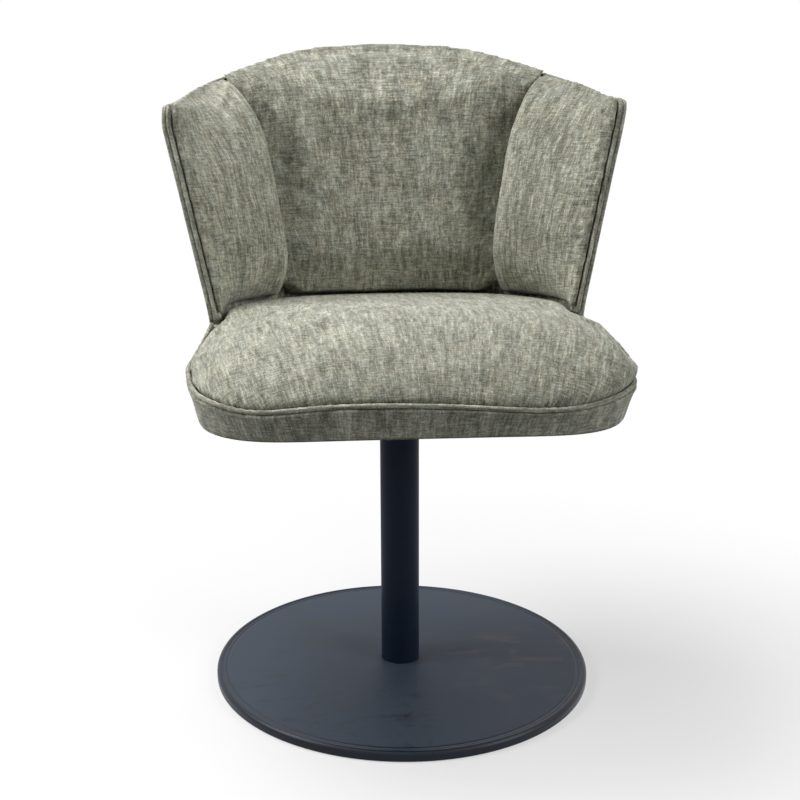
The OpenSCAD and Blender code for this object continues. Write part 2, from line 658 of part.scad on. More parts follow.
// Places the children on the seat board against the shell, with +Y pointing out through it
module at_cleats() {
    w = ply_in + ply_t;
    for (a = cleat_angles)
        let (p = back_pt(a, board_top, w), t = back_pt(a + 1, board_top, w) - back_pt(a - 1, board_top, w))
        translate(p) rotate(atan2(t.y, t.x)) translate([0, -cleat_seat, 0]) children();
}
foot_screw_y = cleat_t + (cleat_foot - cleat_t)*3/5;
leg_screw_z = cleat_h*3/4;
module leg_screw_hole(from, to) {
    translate([0, from, leg_screw_z]) rotate([-90, 0, 0])
        cylinder(r = cleat_screw_d/2 + weld_fit, h = to - from, $fn = small_fn);
}
module back_shell() {
    color("tan") difference() {
        back_layer(ply_in + ply_t, ply_in, board_low + dust_t, 0);
        at_cleats() leg_screw_hole(-cut_over, cleat_seat + cleat_screw_depth);
    }
}
module back_cover() {
    color([0.47, 0.49, 0.41]) back_layer(skin_t, 0, seat_under, 0);
}
module back_lining() {
    color([0.66, 0.67, 0.6]) back_layer(lining_in + lining_t, lining_in, seat_under, foot_row);
}
module angle_cleats() {
    color("silver") at_cleats() difference() {
        translate([-cleat_w/2, 0, 0]) rotate([90, 0, 90]) linear_extrude(cleat_w)
            polygon([[0, 0], [0, cleat_h], [-cleat_t, cleat_h], [-cleat_t, cleat_t],
                [-cleat_foot, cleat_t], [-cleat_foot, 0]]);
        leg_screw_hole(-cleat_t - cut_over, cut_over);
        translate([0, -foot_screw_y, -cut_over])
            cylinder(r = cleat_screw_d/2 + weld_fit, h = cleat_t + 2*cut_over, $fn = small_fn);
    }
}
module cleat_screw(len) {
    translate([0, 0, -len]) cylinder(d = cleat_screw_d, h = len, $fn = small_fn);
    cylinder(d1 = cleat_head_d, d2 = cleat_head_d*3/5, h = cleat_head_t, $fn = small_fn);
}
module cleat_screws() {
    color("gray") at_cleats() {
        translate([0, -foot_screw_y, cleat_t]) cleat_screw(cleat_t + cleat_screw_depth);
        translate([0, -cleat_t, leg_screw_z]) rotate([90, 0, 0])
            cleat_screw(cleat_t + cleat_seat + cleat_screw_depth - weld_fit);
    }
}

// Height at which a cushion of the back stands on the seat's crown, at angle a and depth w
function stand_z(a, w) = let (p = back_pt(a, crown_z - rest_gap, w), z = seat_top(p.x, p.y),
    q = back_pt(a, z, w))
    max(seat_top(q.x, q.y) + rest_gap, wing_foot + rest_gap);
function pad_pt(a, h, w, over) = let (low = stand_z(a, w)) back_pt(a, low + (top_z(a) + over - low)*h, w);
// Thickness of a wing cushion at share u from its front edge to its inner edge and share h of its height
function wing_thick(u, h) = wing_nose_t + (wing_t - wing_nose_t)*pow(sin(90*u), 0.8)
    *sqrt(1 - 0.75*pow(max(u - 0.84, 0)/0.16, 2))*(1 - 0.6*pow(abs(2*h - 1), 6));
function back_thick(u, h) = back_t*(1 - 0.55*pow(abs(u), 5))*(1 - 0.6*pow(max(2*h - 1, 0), 6))
    *(1 - 0.3*pow(max(1 - 2*h, 0), 6));
module wing_cushion(k) {
    us = [for (i = [0:pad_steps]) i/pad_steps];
    hs = [for (j = [0:pad_rows]) j/pad_rows];
    inner = [for (u = us) [for (h = hs) let (a = k*(90 + (wing_inner(h) - 90)*u))
        pad_pt(a, h, cushion_in + wing_thick(u, h), wing_over)]];
    outer = [for (u = us) [for (h = hs) let (a = k*(90 + (wing_inner(h) - 90)*u))
        pad_pt(a, h, cushion_in, wing_over)]];
    color([0.56, 0.58, 0.49]) if (k > 0) slab(inner, outer); else slab(outer, inner);
}
module wing_cushion_left() { wing_cushion(-1); }
module wing_cushion_right() { wing_cushion(1); }
module back_cushion() {
    us = [for (i = [-pad_steps:2:pad_steps]) i/pad_steps];
    hs = [for (j = [0:pad_rows]) j/pad_rows];
    color([0.6, 0.61, 0.52]) slab(
        [for (u = us) [for (h = hs) pad_pt(u*(wing_inner(h) - wing_split), h, cushion_in, back_over)]],
        [for (u = us) [for (h = hs)
            pad_pt(u*(wing_inner(h) - wing_split), h, cushion_in + back_thick(u, h), back_over)]]);
}

// Path of the piping up the front edge of the wing on side k, round its corner
function edge_path(k) = concat(
    [for (j = [0:edge_piping_steps - 1]) let (z0 = wing_foot + rest_gap,
        z = z0 + (wing_corner + piping_rise - wing_corner_r - z0)*j/edge_piping_steps)
        edge_pt(k, -piping_rise, z, piping_in)],
    [for (j = [0:corner_piping_steps]) let (q = 90*j/corner_piping_steps)
        edge_pt(k, wing_corner_r*(1 - cos(q)) - piping_rise,
            wing_corner + piping_rise - wing_corner_r*(1 - sin(q)), piping_in)]);
module back_piping() {
    left = edge_path(-1);
    right = edge_path(1);
    over = [for (k = [1:shell_steps - 1]) let (a = 180*k/shell_steps - 90)
        back_pt(a, top_z(a) + piping_rise, piping_in)];
    path = concat(left, over, [for (j = [len(right) - 1:-1:0]) right[j]]);
    color([0.55, 0.57, 0.48]) swept_tube(path, [for (p = path) [p.x, p.y - edge_y(p.z), 0]], piping_r);
}

floor_pad();
base_weight();
base_cover();
column_flange();
flange_screws();
column_tube();
swivel_sleeve();
upper_bush();
lower_bush();
lower_race();
ball_cage();
thrust_balls();
upper_race();
spindle();
retaining_washer();
circlip();
swivel_plate();
plate_bolts();
spring_washers();
t_nuts();
seat_board();
dust_cover();
seat_band();
seat_piping();
seat_cushion();
back_shell();
back_cover();
back_lining();
back_cushion();
wing_cushion_left();
wing_cushion_right();
back_piping();
angle_cleats();
cleat_screws();
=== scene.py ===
import json
import math
import bpy
import numpy as np
from mathutils import Matrix, Vector


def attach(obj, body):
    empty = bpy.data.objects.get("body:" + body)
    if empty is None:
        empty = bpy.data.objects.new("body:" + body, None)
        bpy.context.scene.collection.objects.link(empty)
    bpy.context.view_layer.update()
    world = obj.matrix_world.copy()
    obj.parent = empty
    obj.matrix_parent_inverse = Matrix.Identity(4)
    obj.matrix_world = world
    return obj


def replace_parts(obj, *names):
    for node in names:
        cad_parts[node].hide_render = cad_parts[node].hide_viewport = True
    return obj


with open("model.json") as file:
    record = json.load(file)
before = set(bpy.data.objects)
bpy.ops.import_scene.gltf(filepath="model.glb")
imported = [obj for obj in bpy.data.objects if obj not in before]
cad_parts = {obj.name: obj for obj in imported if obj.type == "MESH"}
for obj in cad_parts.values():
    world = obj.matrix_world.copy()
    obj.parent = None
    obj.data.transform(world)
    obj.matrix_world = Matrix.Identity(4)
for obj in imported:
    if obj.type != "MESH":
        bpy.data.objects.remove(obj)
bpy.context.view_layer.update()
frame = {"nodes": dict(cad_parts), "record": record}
nodes = frame["nodes"]
print("frame loaded:", len(nodes), "nodes")

# Camera

# The place is in metres in the chair's frame; pan, tilt, roll and the chair's turn are in degrees
photoCamera = {
    "place": (-0.11285, -1.28987, 0.6433),
    "pan": -2.544, "tilt": 12.256, "roll": -0.779, "turn": 5.0,
    "lens": 46.863, "sensor": 36.0, "shift": 0.0574,
}


def makeCamera(view):
    pan, tilt, roll, turn = (math.radians(view[k]) for k in ("pan", "tilt", "roll", "turn"))
    ahead = Vector((math.sin(pan) * math.cos(tilt), math.cos(pan) * math.cos(tilt), -math.sin(tilt)))
    side = Vector((math.cos(pan), -math.sin(pan), 0))
    above = side.cross(ahead)
    right = math.cos(roll) * side + math.sin(roll) * above
    up = math.cos(roll) * above - math.sin(roll) * side
    lens = bpy.data.cameras.new("photoCamera")
    lens.lens, lens.sensor_width = view["lens"], view["sensor"]
    lens.shift_x = view["shift"]
    camera = bpy.data.objects.new("photoCamera", lens)
    bpy.context.scene.collection.objects.link(camera)
    axes = Matrix((right, up, -ahead)).transposed()
    camera.matrix_world = Matrix.Translation(view["place"]) @ (Matrix.Rotation(-turn, 3, "Z") @ axes).to_4x4()
    bpy.context.scene.camera = camera


makeCamera(photoCamera)

# Shader wiring


class Wire:
    # One output of a node, on which the usual signs add Math nodes
    def __init__(self, tree, output):
        self.tree, self.output = tree, output

    def maths(self, operation, *values):
        return self.tree.node("ShaderNodeMath", {"operation": operation}, dict(enumerate(values)))

    def __add__(self, other):
        return self.maths("ADD", self, other)

    def __sub__(self, other):
        return self.maths("SUBTRACT", self, other)

    def __rsub__(self, other):
        return self.maths("SUBTRACT", other, self)

    def __mul__(self, other):
        return self.maths("MULTIPLY", self, other)

    __radd__ = __add__
    __rmul__ = __mul__

    def held(self, low=0.0, high=1.0):
        return self.tree.node("ShaderNodeClamp", {}, {"Value": self, "Min": low, "Max": high})

    def most(self, other):
        return self.maths("MAXIMUM", self, other)

    def step(self, low, high):  # 0 below low, 1 above high and smooth between them
        return self.tree.node("ShaderNodeMapRange", {"interpolation_type": "SMOOTHSTEP"},
                              {"Value": self, "From Min": low, "From Max": high})


class Tree:
    # The nodes of a material or of the world
    def __init__(self, owner):
        owner.use_nodes = True
        self.made, self.links = owner.node_tree.nodes, owner.node_tree.links

    def fill(self, socket, value):
        if isinstance(value, Wire):
            self.links.new(value.output, socket)
        else:
            socket.default_value = value

    def node(self, kind, settings=None, values=None, output=0):
        made = self.made.new(kind)
        for key, value in (settings or {}).items():
            if key == "stops":
                ramp = made.color_ramp
                for k, (place, colour) in enumerate(value):
                    stop = ramp.elements[k] if k < 2 else ramp.elements.new(place)
                    stop.position, stop.color = place, (*colour, 1)
            else:
                setattr(made, key, value)
        for key, value in (values or {}).items():
            self.fill(made.inputs[key], value)
        return Wire(self, made.outputs[output])


class Finish(Tree):
    # A material; values that are the same all over go straight on the shader's sockets
    sockets = {"sheen": "Sheen Weight", "sheenRoughness": "Sheen Roughness", "metal": "Metallic",
               "specular": "Specular IOR Level"}

    def __init__(self, name, colour, roughness, **constants):
        self.material = bpy.data.materials.new(name)
        super().__init__(self.material)
        self.shader = self.made["Principled BSDF"]
        self.set("Base Color", (*colour, 1))
        self.set("Roughness", roughness)
        for key, value in constants.items():
            self.set(self.sockets[key], value)

    def set(self, socket, value):
        self.fill(self.shader.inputs[socket], value)

    def place(self):  # the point on the object, in metres
        return self.node("ShaderNodeTexCoord", output="Object")

    def clothPlace(self):  # the point on the flat cloth in metres: across, along and a shift for each piece
        plan = {"attribute_type": "GEOMETRY", "attribute_name": "clothPlace"}
        return self.node("ShaderNodeAttribute", plan, output="Vector")

    def scaled(self, vector, by, shift=(0, 0, 0)):
        return self.node("ShaderNodeVectorMath", {"operation": "MULTIPLY_ADD"}, {0: vector, 1: by, 2: shift})

    def noise(self, vector, detail=2.0, roughness=0.5, distortion=0.0):
        values = {"Scale": 1.0, "Detail": detail, "Roughness": roughness, "Distortion": distortion}
        return self.node("ShaderNodeTexNoise", {}, {"Vector": vector, **values})

    def noises(self, place, plan):
        # One noise for each entry: its waves per metre, shift, detail, roughness and distortion
        return [self.noise(self.scaled(place, waves, shift), *rest) for waves, shift, *rest in plan.values()]

    def height(self, vector):
        return self.node("ShaderNodeSeparateXYZ", {}, {0: vector}, output="Z")

    def aside(self, vector):
        return self.node("ShaderNodeSeparateXYZ", {}, {0: vector}, output="X")

    def fromAxis(self, vector, shift=(0, 0, 0)):  # distance from the upright axis
        flat = self.scaled(vector, (1, 1, 0), shift)
        return self.node("ShaderNodeVectorMath", {"operation": "LENGTH"}, {0: flat}, output="Value")

    def ramp(self, value, stops):
        return self.node("ShaderNodeValToRGB", {"stops": stops}, {"Fac": value})

    def mix(self, share, first, second):
        first, second = ((*c, 1) if isinstance(c, tuple) and len(c) == 3 else c for c in (first, second))
        return self.node("ShaderNodeMix", {"data_type": "RGBA"}, {0: share, 6: first, 7: second}, output=2)

    def bump(self, height, distance, strength=1.0):
        values = {"Height": height, "Distance": distance, "Strength": strength}
        self.set("Normal", self.node("ShaderNodeBump", {}, values))


# Finishes

# Stops of each tone: the shaded ground, the palest slub, and two between; the warm ones lean to brown and
# the cool ones to grey green. A noise has its waves per metre across and along the cloth, a shift, detail,
# roughness and distortion
chenilleLook = {
    "warm": [(0.0, (0.100, 0.098, 0.070)), (1.0, (0.66, 0.645, 0.53)),
             (0.36, (0.238, 0.234, 0.180)), (0.68, (0.42, 0.415, 0.33))],
    "cool": [(0.0, (0.096, 0.100, 0.075)), (1.0, (0.63, 0.635, 0.54)),
             (0.36, (0.228, 0.236, 0.187)), (0.68, (0.405, 0.415, 0.345))],
    "noises": {
        "patches": ((40, 24, 1), (0, 0, 0), 2, 0.6, 0.4),
        "broad": ((120, 20, 2), (0, 0, 0), 2, 0.5, 0.2),
        "streaks": ((240, 46, 3), (0, 0, 0), 2, 0.6, 0.2),
        "threads": ((440, 90, 5), (0, 0, 0), 2, 0.6, 0.3),
        "cross": ((75, 420, 7), (0, 0, 0), 2, 0.6, 0.3),
        "grain": ((600, 560, 13), (0, 0, 0), 3, 0.65, 0.5),
        "hue": ((46, 30, 17), (0, 0, 0), 3, 0.6, 0.0),
    },
    "weights": {"threads": 0.85, "cross": 1.0, "grain": 1.3, "streaks": 0.8, "broad": 0.75, "patches": 0.5},
    "streakBump": 0.6, "slubBump": 0.3, "slubGrain": (0.4, 0.6), "coolAt": (0.35, 0.65), "middle": 0.46,
    "sheen": 0.2, "sheenRoughness": 0.5, "specular": 0.2, "roughness": 0.98, "slubRoughness": 0.14,
    # topShade and its range paint shade on the tops of the back and wings; sideLight paints light on the left
    # and shade on the right
    "slubFrom": 0.55, "slubTo": 0.68, "slub": 0.12, "bump": 0.0010, "bumpStrength": 0.5, "topShade": 0.10,
    "topShadeFrom": 0.66, "topShadeTo": 0.78, "sideLight": 0.2,
}


def chenilleFinish(name, look):
    # Pale slubs run along and across the cloth, over streaks and patches where the pile lies another way
    f = Finish(name, look["warm"][2][1], look["roughness"], sheen=look["sheen"],
               sheenRoughness=look["sheenRoughness"], specular=look["specular"])
    made = dict(zip(look["noises"], f.noises(f.clothPlace(), look["noises"])))
    streaks, threads, grain = made["streaks"], made["threads"], made["grain"]

    def part(name):
        return look["weights"][name] * (made[name] - 0.5)

    fine = part("threads") + part("cross") + part("grain")
    tone = look["middle"] + fine + part("streaks") + part("broad") + part("patches")
    slub = (streaks * 0.5 + threads * 0.5).step(look["slubFrom"], look["slubTo"])
    slub = slub * grain.step(*look["slubGrain"])
    # Painted shade: the tone darkens towards the tops of the back and the wings. Painted light makes the left
    # side paler and the right side darker
    top = f.height(f.place()).step(look["topShadeFrom"], look["topShadeTo"])
    tone = (tone + slub * look["slub"] - top * look["topShade"] - f.aside(f.place()) * look["sideLight"]).held()
    warm, cool = f.ramp(tone, look["warm"]), f.ramp(tone, look["cool"])
    f.set("Base Color", f.mix(made["hue"].step(*look["coolAt"]), warm, cool))
    f.set("Roughness", (look["roughness"] - tone * look["slubRoughness"]).held(0.75, 1))
    height = fine + (streaks - 0.5) * look["streakBump"] + slub * look["slubBump"]
    f.bump(height, look["bump"], look["bumpStrength"])
    return f.material


# Base colours of the paint, clean and under dust (the dusty one also a painted reflection), and of the
# column's paint where it is dark and light
powderCoatLook = {
    "peel": 900, "peelHeight": 0.00006,
    "noises": {
        "haze": ((7, 9, 7), (3, 1, 0), 4, 0.6, 0.5),
        "smears": ((10, 19, 12), (0.4, 2, 0), 6, 0.62, 1.6),
        "drags": ((9, 60, 12), (7, 3, 0), 4, 0.6, 1.2),
        "prints": ((30, 26, 30), (5, 2, 0), 6, 0.7, 1.9),
        "scribble": ((70, 150, 70), (2, 9, 0), 3, 0.6, 2.2),
    },
    "smearsAt": (0.545, 0.60), "dragsAt": (0.60, 0.64), "dragsWithin": (0.44, 0.52),
    "printsAt": (0.585, 0.62), "scribbleAt": (0.60, 0.64), "scribbleWithin": (0.48, 0.56), "smears": 0.5,
    "drags": 0.7, "prints": 0.6, "scribble": 0.35, "clean": (0.004, 0.008, 0.018),
    "dustAndSheen": (0.045, 0.060, 0.085), "wiped": 0.9, "leastHaze": 0.5, "haze": 0.7, "rimDustAndShade": 0.08,
    "roughness": 0.34, "dustRoughness": 0.32, "peelRoughness": 0.1, "discFrom": 0.0105, "discTo": 0.0112,
    "rimFrom": 0.2345, "rimTo": 0.2375, "dark": (0.005, 0.010, 0.022), "light": (0.010, 0.018, 0.036),
    "wear": (30, 30, 6), "wearTone": 0.6, "wornRoughness": 0.42, "wearRoughness": 0.16, "bumpStrength": 0.5,
}


def powderCoatFinish(name, dustAndSheen, look=powderCoatLook):
    # Fine orange peel; on the base also a thin haze of dust, wiped away in smears, drags and finger marks. Its
    # pale colour also paints the reflection of the bright surroundings on the top, and the rim and side keep
    # the dark paint as painted shade
    f = Finish(name, (0.006, 0.011, 0.022), 0.5, specular=0.25 if dustAndSheen else 0.12)
    here = f.place()
    peel = f.noise(f.scaled(here, (look["peel"],) * 3), 2, 0.5)
    if dustAndSheen:
        haze, smears, drags, prints, scribble = f.noises(here, look["noises"])
        wiped = smears.step(*look["smearsAt"]) * look["smears"]
        wiped = wiped + drags.step(*look["dragsAt"]) * smears.step(*look["dragsWithin"]) * look["drags"]
        wiped = wiped + prints.step(*look["printsAt"]) * look["prints"]
        within = scribble.step(*look["scribbleAt"]) * smears.step(*look["scribbleWithin"])
        wiped = wiped + within * look["scribble"]
        # Painted shade: the pale colour lies only on the flat top inside the rim, so the rolled rim and the
        # side keep the dark paint
        flat = f.height(here).step(look["discFrom"], look["discTo"])
        inside = 1 - f.fromAxis(here).step(look["rimFrom"], look["rimTo"])
        haze = look["leastHaze"] + haze * look["haze"]
        left, least = 1 - wiped.held() * look["wiped"], look["rimDustAndShade"]
        dustAndSheenShare = (haze * left * (least + (1 - least) * flat * inside)).held()
        # Painted reflection: the pale dusty colour stands for real dust and also for the bright surroundings
        # mirrored in the top
        f.set("Base Color", f.mix(dustAndSheenShare, look["clean"], look["dustAndSheen"]))
        rough = look["roughness"] + dustAndSheenShare * look["dustRoughness"] + (peel - 0.5) * look["peelRoughness"]
        f.set("Roughness", rough.held())
    else:
        wear = f.noise(f.scaled(here, look["wear"]), 3, 0.5)
        f.set("Base Color", f.mix(wear * look["wearTone"], look["dark"], look["light"]))
        f.set("Roughness", (look["wornRoughness"] + wear * look["wearRoughness"]).held())
    f.bump(peel, look["peelHeight"], look["bumpStrength"])
    return f.material


# clouds and marks are shares in the tone, and less comes off it; closer packs the marks along the height
metalLook = {
    "cloudSize": 4, "closer": 14, "clouds": 0.7, "marks": 0.5, "less": 0.1,
    "smoother": 0.12, "markRoughness": 0.24, "leastRoughness": 0.05, "bump": 0.00004, "bumpStrength": 0.4,
}


def metalFinish(name, light, dark, roughness, scale=160.0, metal=1.0, look=metalLook):
    # Plated or ground steel: fine turning marks and a slow change of tone
    f = Finish(name, light, roughness, metal=metal)
    here = f.place()
    cloudy = f.noise(f.scaled(here, (scale / look["cloudSize"],) * 3), 3, 0.55)
    marks = f.noise(f.scaled(here, (scale, scale, scale * look["closer"])), 3, 0.6)
    tone = (cloudy * look["clouds"] + marks * look["marks"] - look["less"]).held()
    f.set("Base Color", f.mix(tone, dark, light))
    rough = roughness - look["smoother"] + marks * look["markRoughness"]
    f.set("Roughness", rough.held(look["leastRoughness"], 1))
    f.bump(marks, look["bump"], look["bumpStrength"])
    return f.material


plywoodLook = {
    "noises": {
        "rings": ((2.2, 46, 20), (0, 0, 0), 4, 0.6, 1.2),
        "fibres": ((12, 900, 900), (0, 0, 0), 2, 0.6),
    },
    "veneers": {"Scale": 110.0, "Distortion": 0.3}, "ringTone": 0.8, "fibreTone": 0.3, "veneerTone": 0.12,
    "stops": [(0.2, (0.3, 0.18, 0.09)), (1.0, (0.7, 0.54, 0.34)), (0.6, (0.54, 0.38, 0.22))],
    "roughness": 0.55, "fibreRoughness": 0.2, "fibreBump": 0.6, "ringBump": 0.4, "bump": 0.0002,
}


def plywoodFinish(name, look=plywoodLook):
    # Long grain along X with darker growth lines, and thin glue lines between the veneers on the edges
    f = Finish(name, (0.52, 0.36, 0.2), 0.62)
    here = f.place()
    rings, fibres = f.noises(here, look["noises"])
    bands = {"wave_type": "BANDS", "bands_direction": "Z"}
    veneers = f.node("ShaderNodeTexWave", bands, {"Vector": here, **look["veneers"]})
    tone = rings * look["ringTone"] + fibres * look["fibreTone"] + (veneers - 0.5) * look["veneerTone"]
    f.set("Base Color", f.ramp(tone.held(), look["stops"]))
    f.set("Roughness", (look["roughness"] + fibres * look["fibreRoughness"]).held())
    f.bump(fibres * look["fibreBump"] + rings * look["ringBump"], look["bump"], 0.5)
    return f.material


plainLook = {
    "slow": 14, "grainTone": 0.5, "slowTone": 0.6, "less": 0.05, "smoother": 0.1, "grainRoughness": 0.2,
}


def plainFinish(name, light, dark, roughness, scale, height, look=plainLook):
    # Moulded rubber, nylon, non-woven cloth or sprayed paint: a fine grain and a slow change of tone
    f = Finish(name, light, roughness, metal=0.0)
    here = f.place()
    grain = f.noise(f.scaled(here, (scale,) * 3), 3, 0.6)
    slow = f.noise(f.scaled(here, (look["slow"],) * 3), 2, 0.5)
    tone = (grain * look["grainTone"] + slow * look["slowTone"] - look["less"]).held()
    f.set("Base Color", f.mix(tone, dark, light))
    f.set("Roughness", (roughness - look["smoother"] + grain * look["grainRoughness"]).held())
    f.bump(grain, height, 0.5)
    return f.material


finishes = {
    "chenille": chenilleFinish("sageChenille", chenilleLook),
    "powder_coat": powderCoatFinish("powderCoat", False),
    "weight_steel": metalFinish("hotRolledSteel", (0.2, 0.2, 0.21), (0.09, 0.09, 0.095), 0.6, 60.0, 0.8),
    "zinc_steel": metalFinish("zincPlate", (0.66, 0.67, 0.68), (0.42, 0.43, 0.45), 0.34),
    "bearing_steel": metalFinish("groundSteel", (0.74, 0.74, 0.75), (0.55, 0.55, 0.57), 0.16, 240.0),
    "cage_brass": metalFinish("pressedBrass", (0.78, 0.58, 0.24), (0.56, 0.38, 0.13), 0.32),
    "plate_paint": plainFinish("plateBlack", (0.022, 0.023, 0.026), (0.012, 0.012, 0.014), 0.45, 700, 0.0001),
    "bush_plastic": plainFinish("naturalNylon", (0.72, 0.7, 0.62), (0.6, 0.58, 0.5), 0.45, 400, 0.00005),
    "pad": plainFinish("floorFelt", (0.035, 0.035, 0.037), (0.018, 0.018, 0.02), 0.95, 900, 0.0004),
    "plywood": plywoodFinish("beechPly"),
    "dust_cloth": plainFinish("dustCloth", (0.035, 0.035, 0.035), (0.012, 0.012, 0.012), 0.9, 1300, 0.0003),
}
dustAndSheenCoat = powderCoatFinish("powderCoatBase", True)
slotOf = {part["node"]: part["material_slot"] for part in frame["record"]["subparts"]}
for name, node in nodes.items():
    node.data.materials.clear()
    node.data.materials.append(dustAndSheenCoat if name == "base_cover" else finishes[slotOf[name]])
print("finishes made:", len(finishes) + 1)

# Shared shaping


def ease(share):  # three squares less two cubes of the share, held from 0 to 1
    share = np.clip(share, 0, 1)
    return share * share * (3 - 2 * share)


def signed(value, power):  # a power that keeps the sign
    return np.sign(value) * np.abs(value) ** power


def past(value, start, reach):  # 0 up to start, 1 from a reach beyond it, and smooth between them
    return ease((value - start) / reach)


def bell(way, middle, reach):
    return np.exp(-((way - middle) / reach) ** 2)


def lumps(points, size, seed=0.0):
    # Soft unevenness of about -1 to 1: the mean of nine sine waves in several directions, each about size long
    waves, goldenTurn, steepest = 9, 2.399, 0.9
    turn = np.arange(waves) * goldenTurn + seed
    rise = np.linspace(-steepest, steepest, waves)
    level = np.sqrt(1 - rise ** 2)
    way = np.stack([np.cos(turn) * level, np.sin(turn) * level, rise], 1)
    long = size * (0.7 + 0.08 * np.arange(waves))
    return np.sin(points @ (way / long[:, None] * 2 * np.pi).T + turn * 1.7).mean(axis=1) * 1.9


def uneven(points, plan):  # a plan is the height of the lumps, their size and their seed
    height, size, seed = plan
    return height * lumps(points, size, seed)


def wavy(way, pitch, strength, waves, shift=0.0):  # a sine wave whose pitch wanders
    return np.sin(way / pitch * 2 * np.pi + strength * np.sin(way * waves) + shift)


def newPiece(name, points, faces, body, slot):
    mesh = bpy.data.meshes.new(name)
    mesh.from_pydata(points.reshape(-1, 3).tolist(), [], faces)
    mesh.update()
    piece = bpy.data.objects.new(name, mesh)
    bpy.context.scene.collection.objects.link(piece)
    mesh.polygons.foreach_set("use_smooth", np.ones(len(mesh.polygons), bool))
    if volumeOf(mesh) < 0:
        mesh.flip_normals()
    mesh.materials.append(finishes[slot])
    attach(piece, body)
    return piece


def coordinates(mesh):
    flat = np.empty(len(mesh.vertices) * 3, np.float32)
    mesh.vertices.foreach_get("co", flat)
    return flat.reshape(-1, 3).astype(float)


def setCoordinates(mesh, points):
    mesh.vertices.foreach_set("co", points.astype(np.float32).ravel())
    mesh.update()


def vertexNormals(mesh):
    flat = np.empty(len(mesh.vertices) * 3, np.float32)
    mesh.vertex_normals.foreach_get("vector", flat)
    return flat.reshape(-1, 3).astype(float)


def volumeOf(mesh):
    # A sixth of the sum of the triangles' triple products; positive when the faces turn outwards
    mesh.calc_loop_triangles()
    corners = np.empty(len(mesh.loop_triangles) * 3, np.int32)
    mesh.loop_triangles.foreach_get("vertices", corners)
    a, b, c = coordinates(mesh)[corners.reshape(-1, 3)].transpose(1, 0, 2)
    return float((a * np.cross(b, c)).sum() / 6)


def gridFaces(rows, columns, closed=False, first=0):
    # Each cell of a grid of points as one face; closed joins the last column to the first
    cells = columns if closed else columns - 1
    row, column = np.meshgrid(np.arange(rows - 1), np.arange(cells), indexing="ij")
    a = first + row * columns + column
    b = first + row * columns + (column + 1) % columns
    return np.stack([a, b, b + columns, a + columns], -1).reshape(-1, 4).tolist()


def fanFaces(ring, pole):  # triangles from a ring of point numbers to one pole
    return [[ring[k], ring[(k + 1) % len(ring)], pole] for k in range(len(ring))]


def ringsForm(rings):
    # A closed form from rings of points, with a pole at the middle of the first and the last ring
    rows, columns = rings.shape[:2]
    points = np.concatenate([rings.reshape(-1, 3), rings[0].mean(0)[None], rings[-1].mean(0)[None]])
    total = rows * columns
    faces = gridFaces(rows, columns, True)
    faces += fanFaces(list(range(columns))[::-1], total)
    faces += fanFaces(list(range(total - columns, total)), total + 1)
    return points, faces


def ringsPiece(name, rings, body, slot):
    return newPiece(name, *ringsForm(rings), body, slot)


def sweep(path, outs, radius, sides):
    # Rings of points round a path: each ring lies square to the path, with its first point towards outs
    along = np.gradient(path, axis=0)
    along /= np.linalg.norm(along, axis=1, keepdims=True)
    outs = outs - (outs * along).sum(1, keepdims=True) * along
    outs /= np.linalg.norm(outs, axis=1, keepdims=True)
    across = np.cross(along, outs)
    turn = np.arange(sides) * 2 * np.pi / sides
    swing = np.cos(turn)[None, :, None] * outs[:, None] + np.sin(turn)[None, :, None] * across[:, None]
    return path[:, None] + radius * swing


def distances(path):  # how far along its path each point lies
    return np.concatenate([[0], np.cumsum(np.linalg.norm(np.diff(path, axis=0), axis=1))])


def storeCloth(piece, across, along, shift):  # each point's place on the flat cloth, which the chenille reads
    place = np.stack([across, along, np.full_like(across, shift)], 1).astype(np.float32)
    attribute = piece.data.attributes.new("clothPlace", "FLOAT_VECTOR", "POINT")
    attribute.data.foreach_set("vector", place.ravel())


cordLook = {
    "radius": 0.0027, "sides": 14, "pull": 0.00035, "pullPitch": 0.011, "pullShare": 0.6, "slant": 0.6,
}


def cordPiece(name, path, outs, shift, look=cordLook):
    # Cloth sewn over a cord: its radius swells and shrinks a little between the stitches
    run = distances(path)
    pull = look["pull"] * wavy(run, look["pullPitch"], 2, 41) * np.sin(run * 29 + shift)
    around = np.arange(look["sides"]) * 2 * np.pi / look["sides"]
    oneSided = look["pullShare"] + (1 - look["pullShare"]) * np.cos(around + 1)[None, :, None]
    rings = sweep(path, outs, look["radius"] + pull[:, None, None] * oneSided, look["sides"])
    piece = ringsPiece(name, rings, "seat", "chenille")
    girth = around * look["radius"]
    across = np.concatenate([(girth[None] + 0 * run[:, None]).ravel(), [0, 0]])
    along = np.concatenate([(run[:, None] + girth[None] * look["slant"]).ravel(), run[[0, -1]]])
    storeCloth(piece, across, along, shift)
    return piece


def settle(piece):  # puts what the modifiers give into the mesh
    shown = piece.evaluated_get(bpy.context.evaluated_depsgraph_get())
    mesh = bpy.data.meshes.new_from_object(shown)
    old = piece.data
    piece.modifiers.clear()
    piece.data = mesh
    mesh.name = piece.name
    bpy.data.meshes.remove(old)
    mesh.polygons.foreach_set("use_smooth", np.ones(len(mesh.polygons), bool))


relaxSteps = [0.5, -0.51]


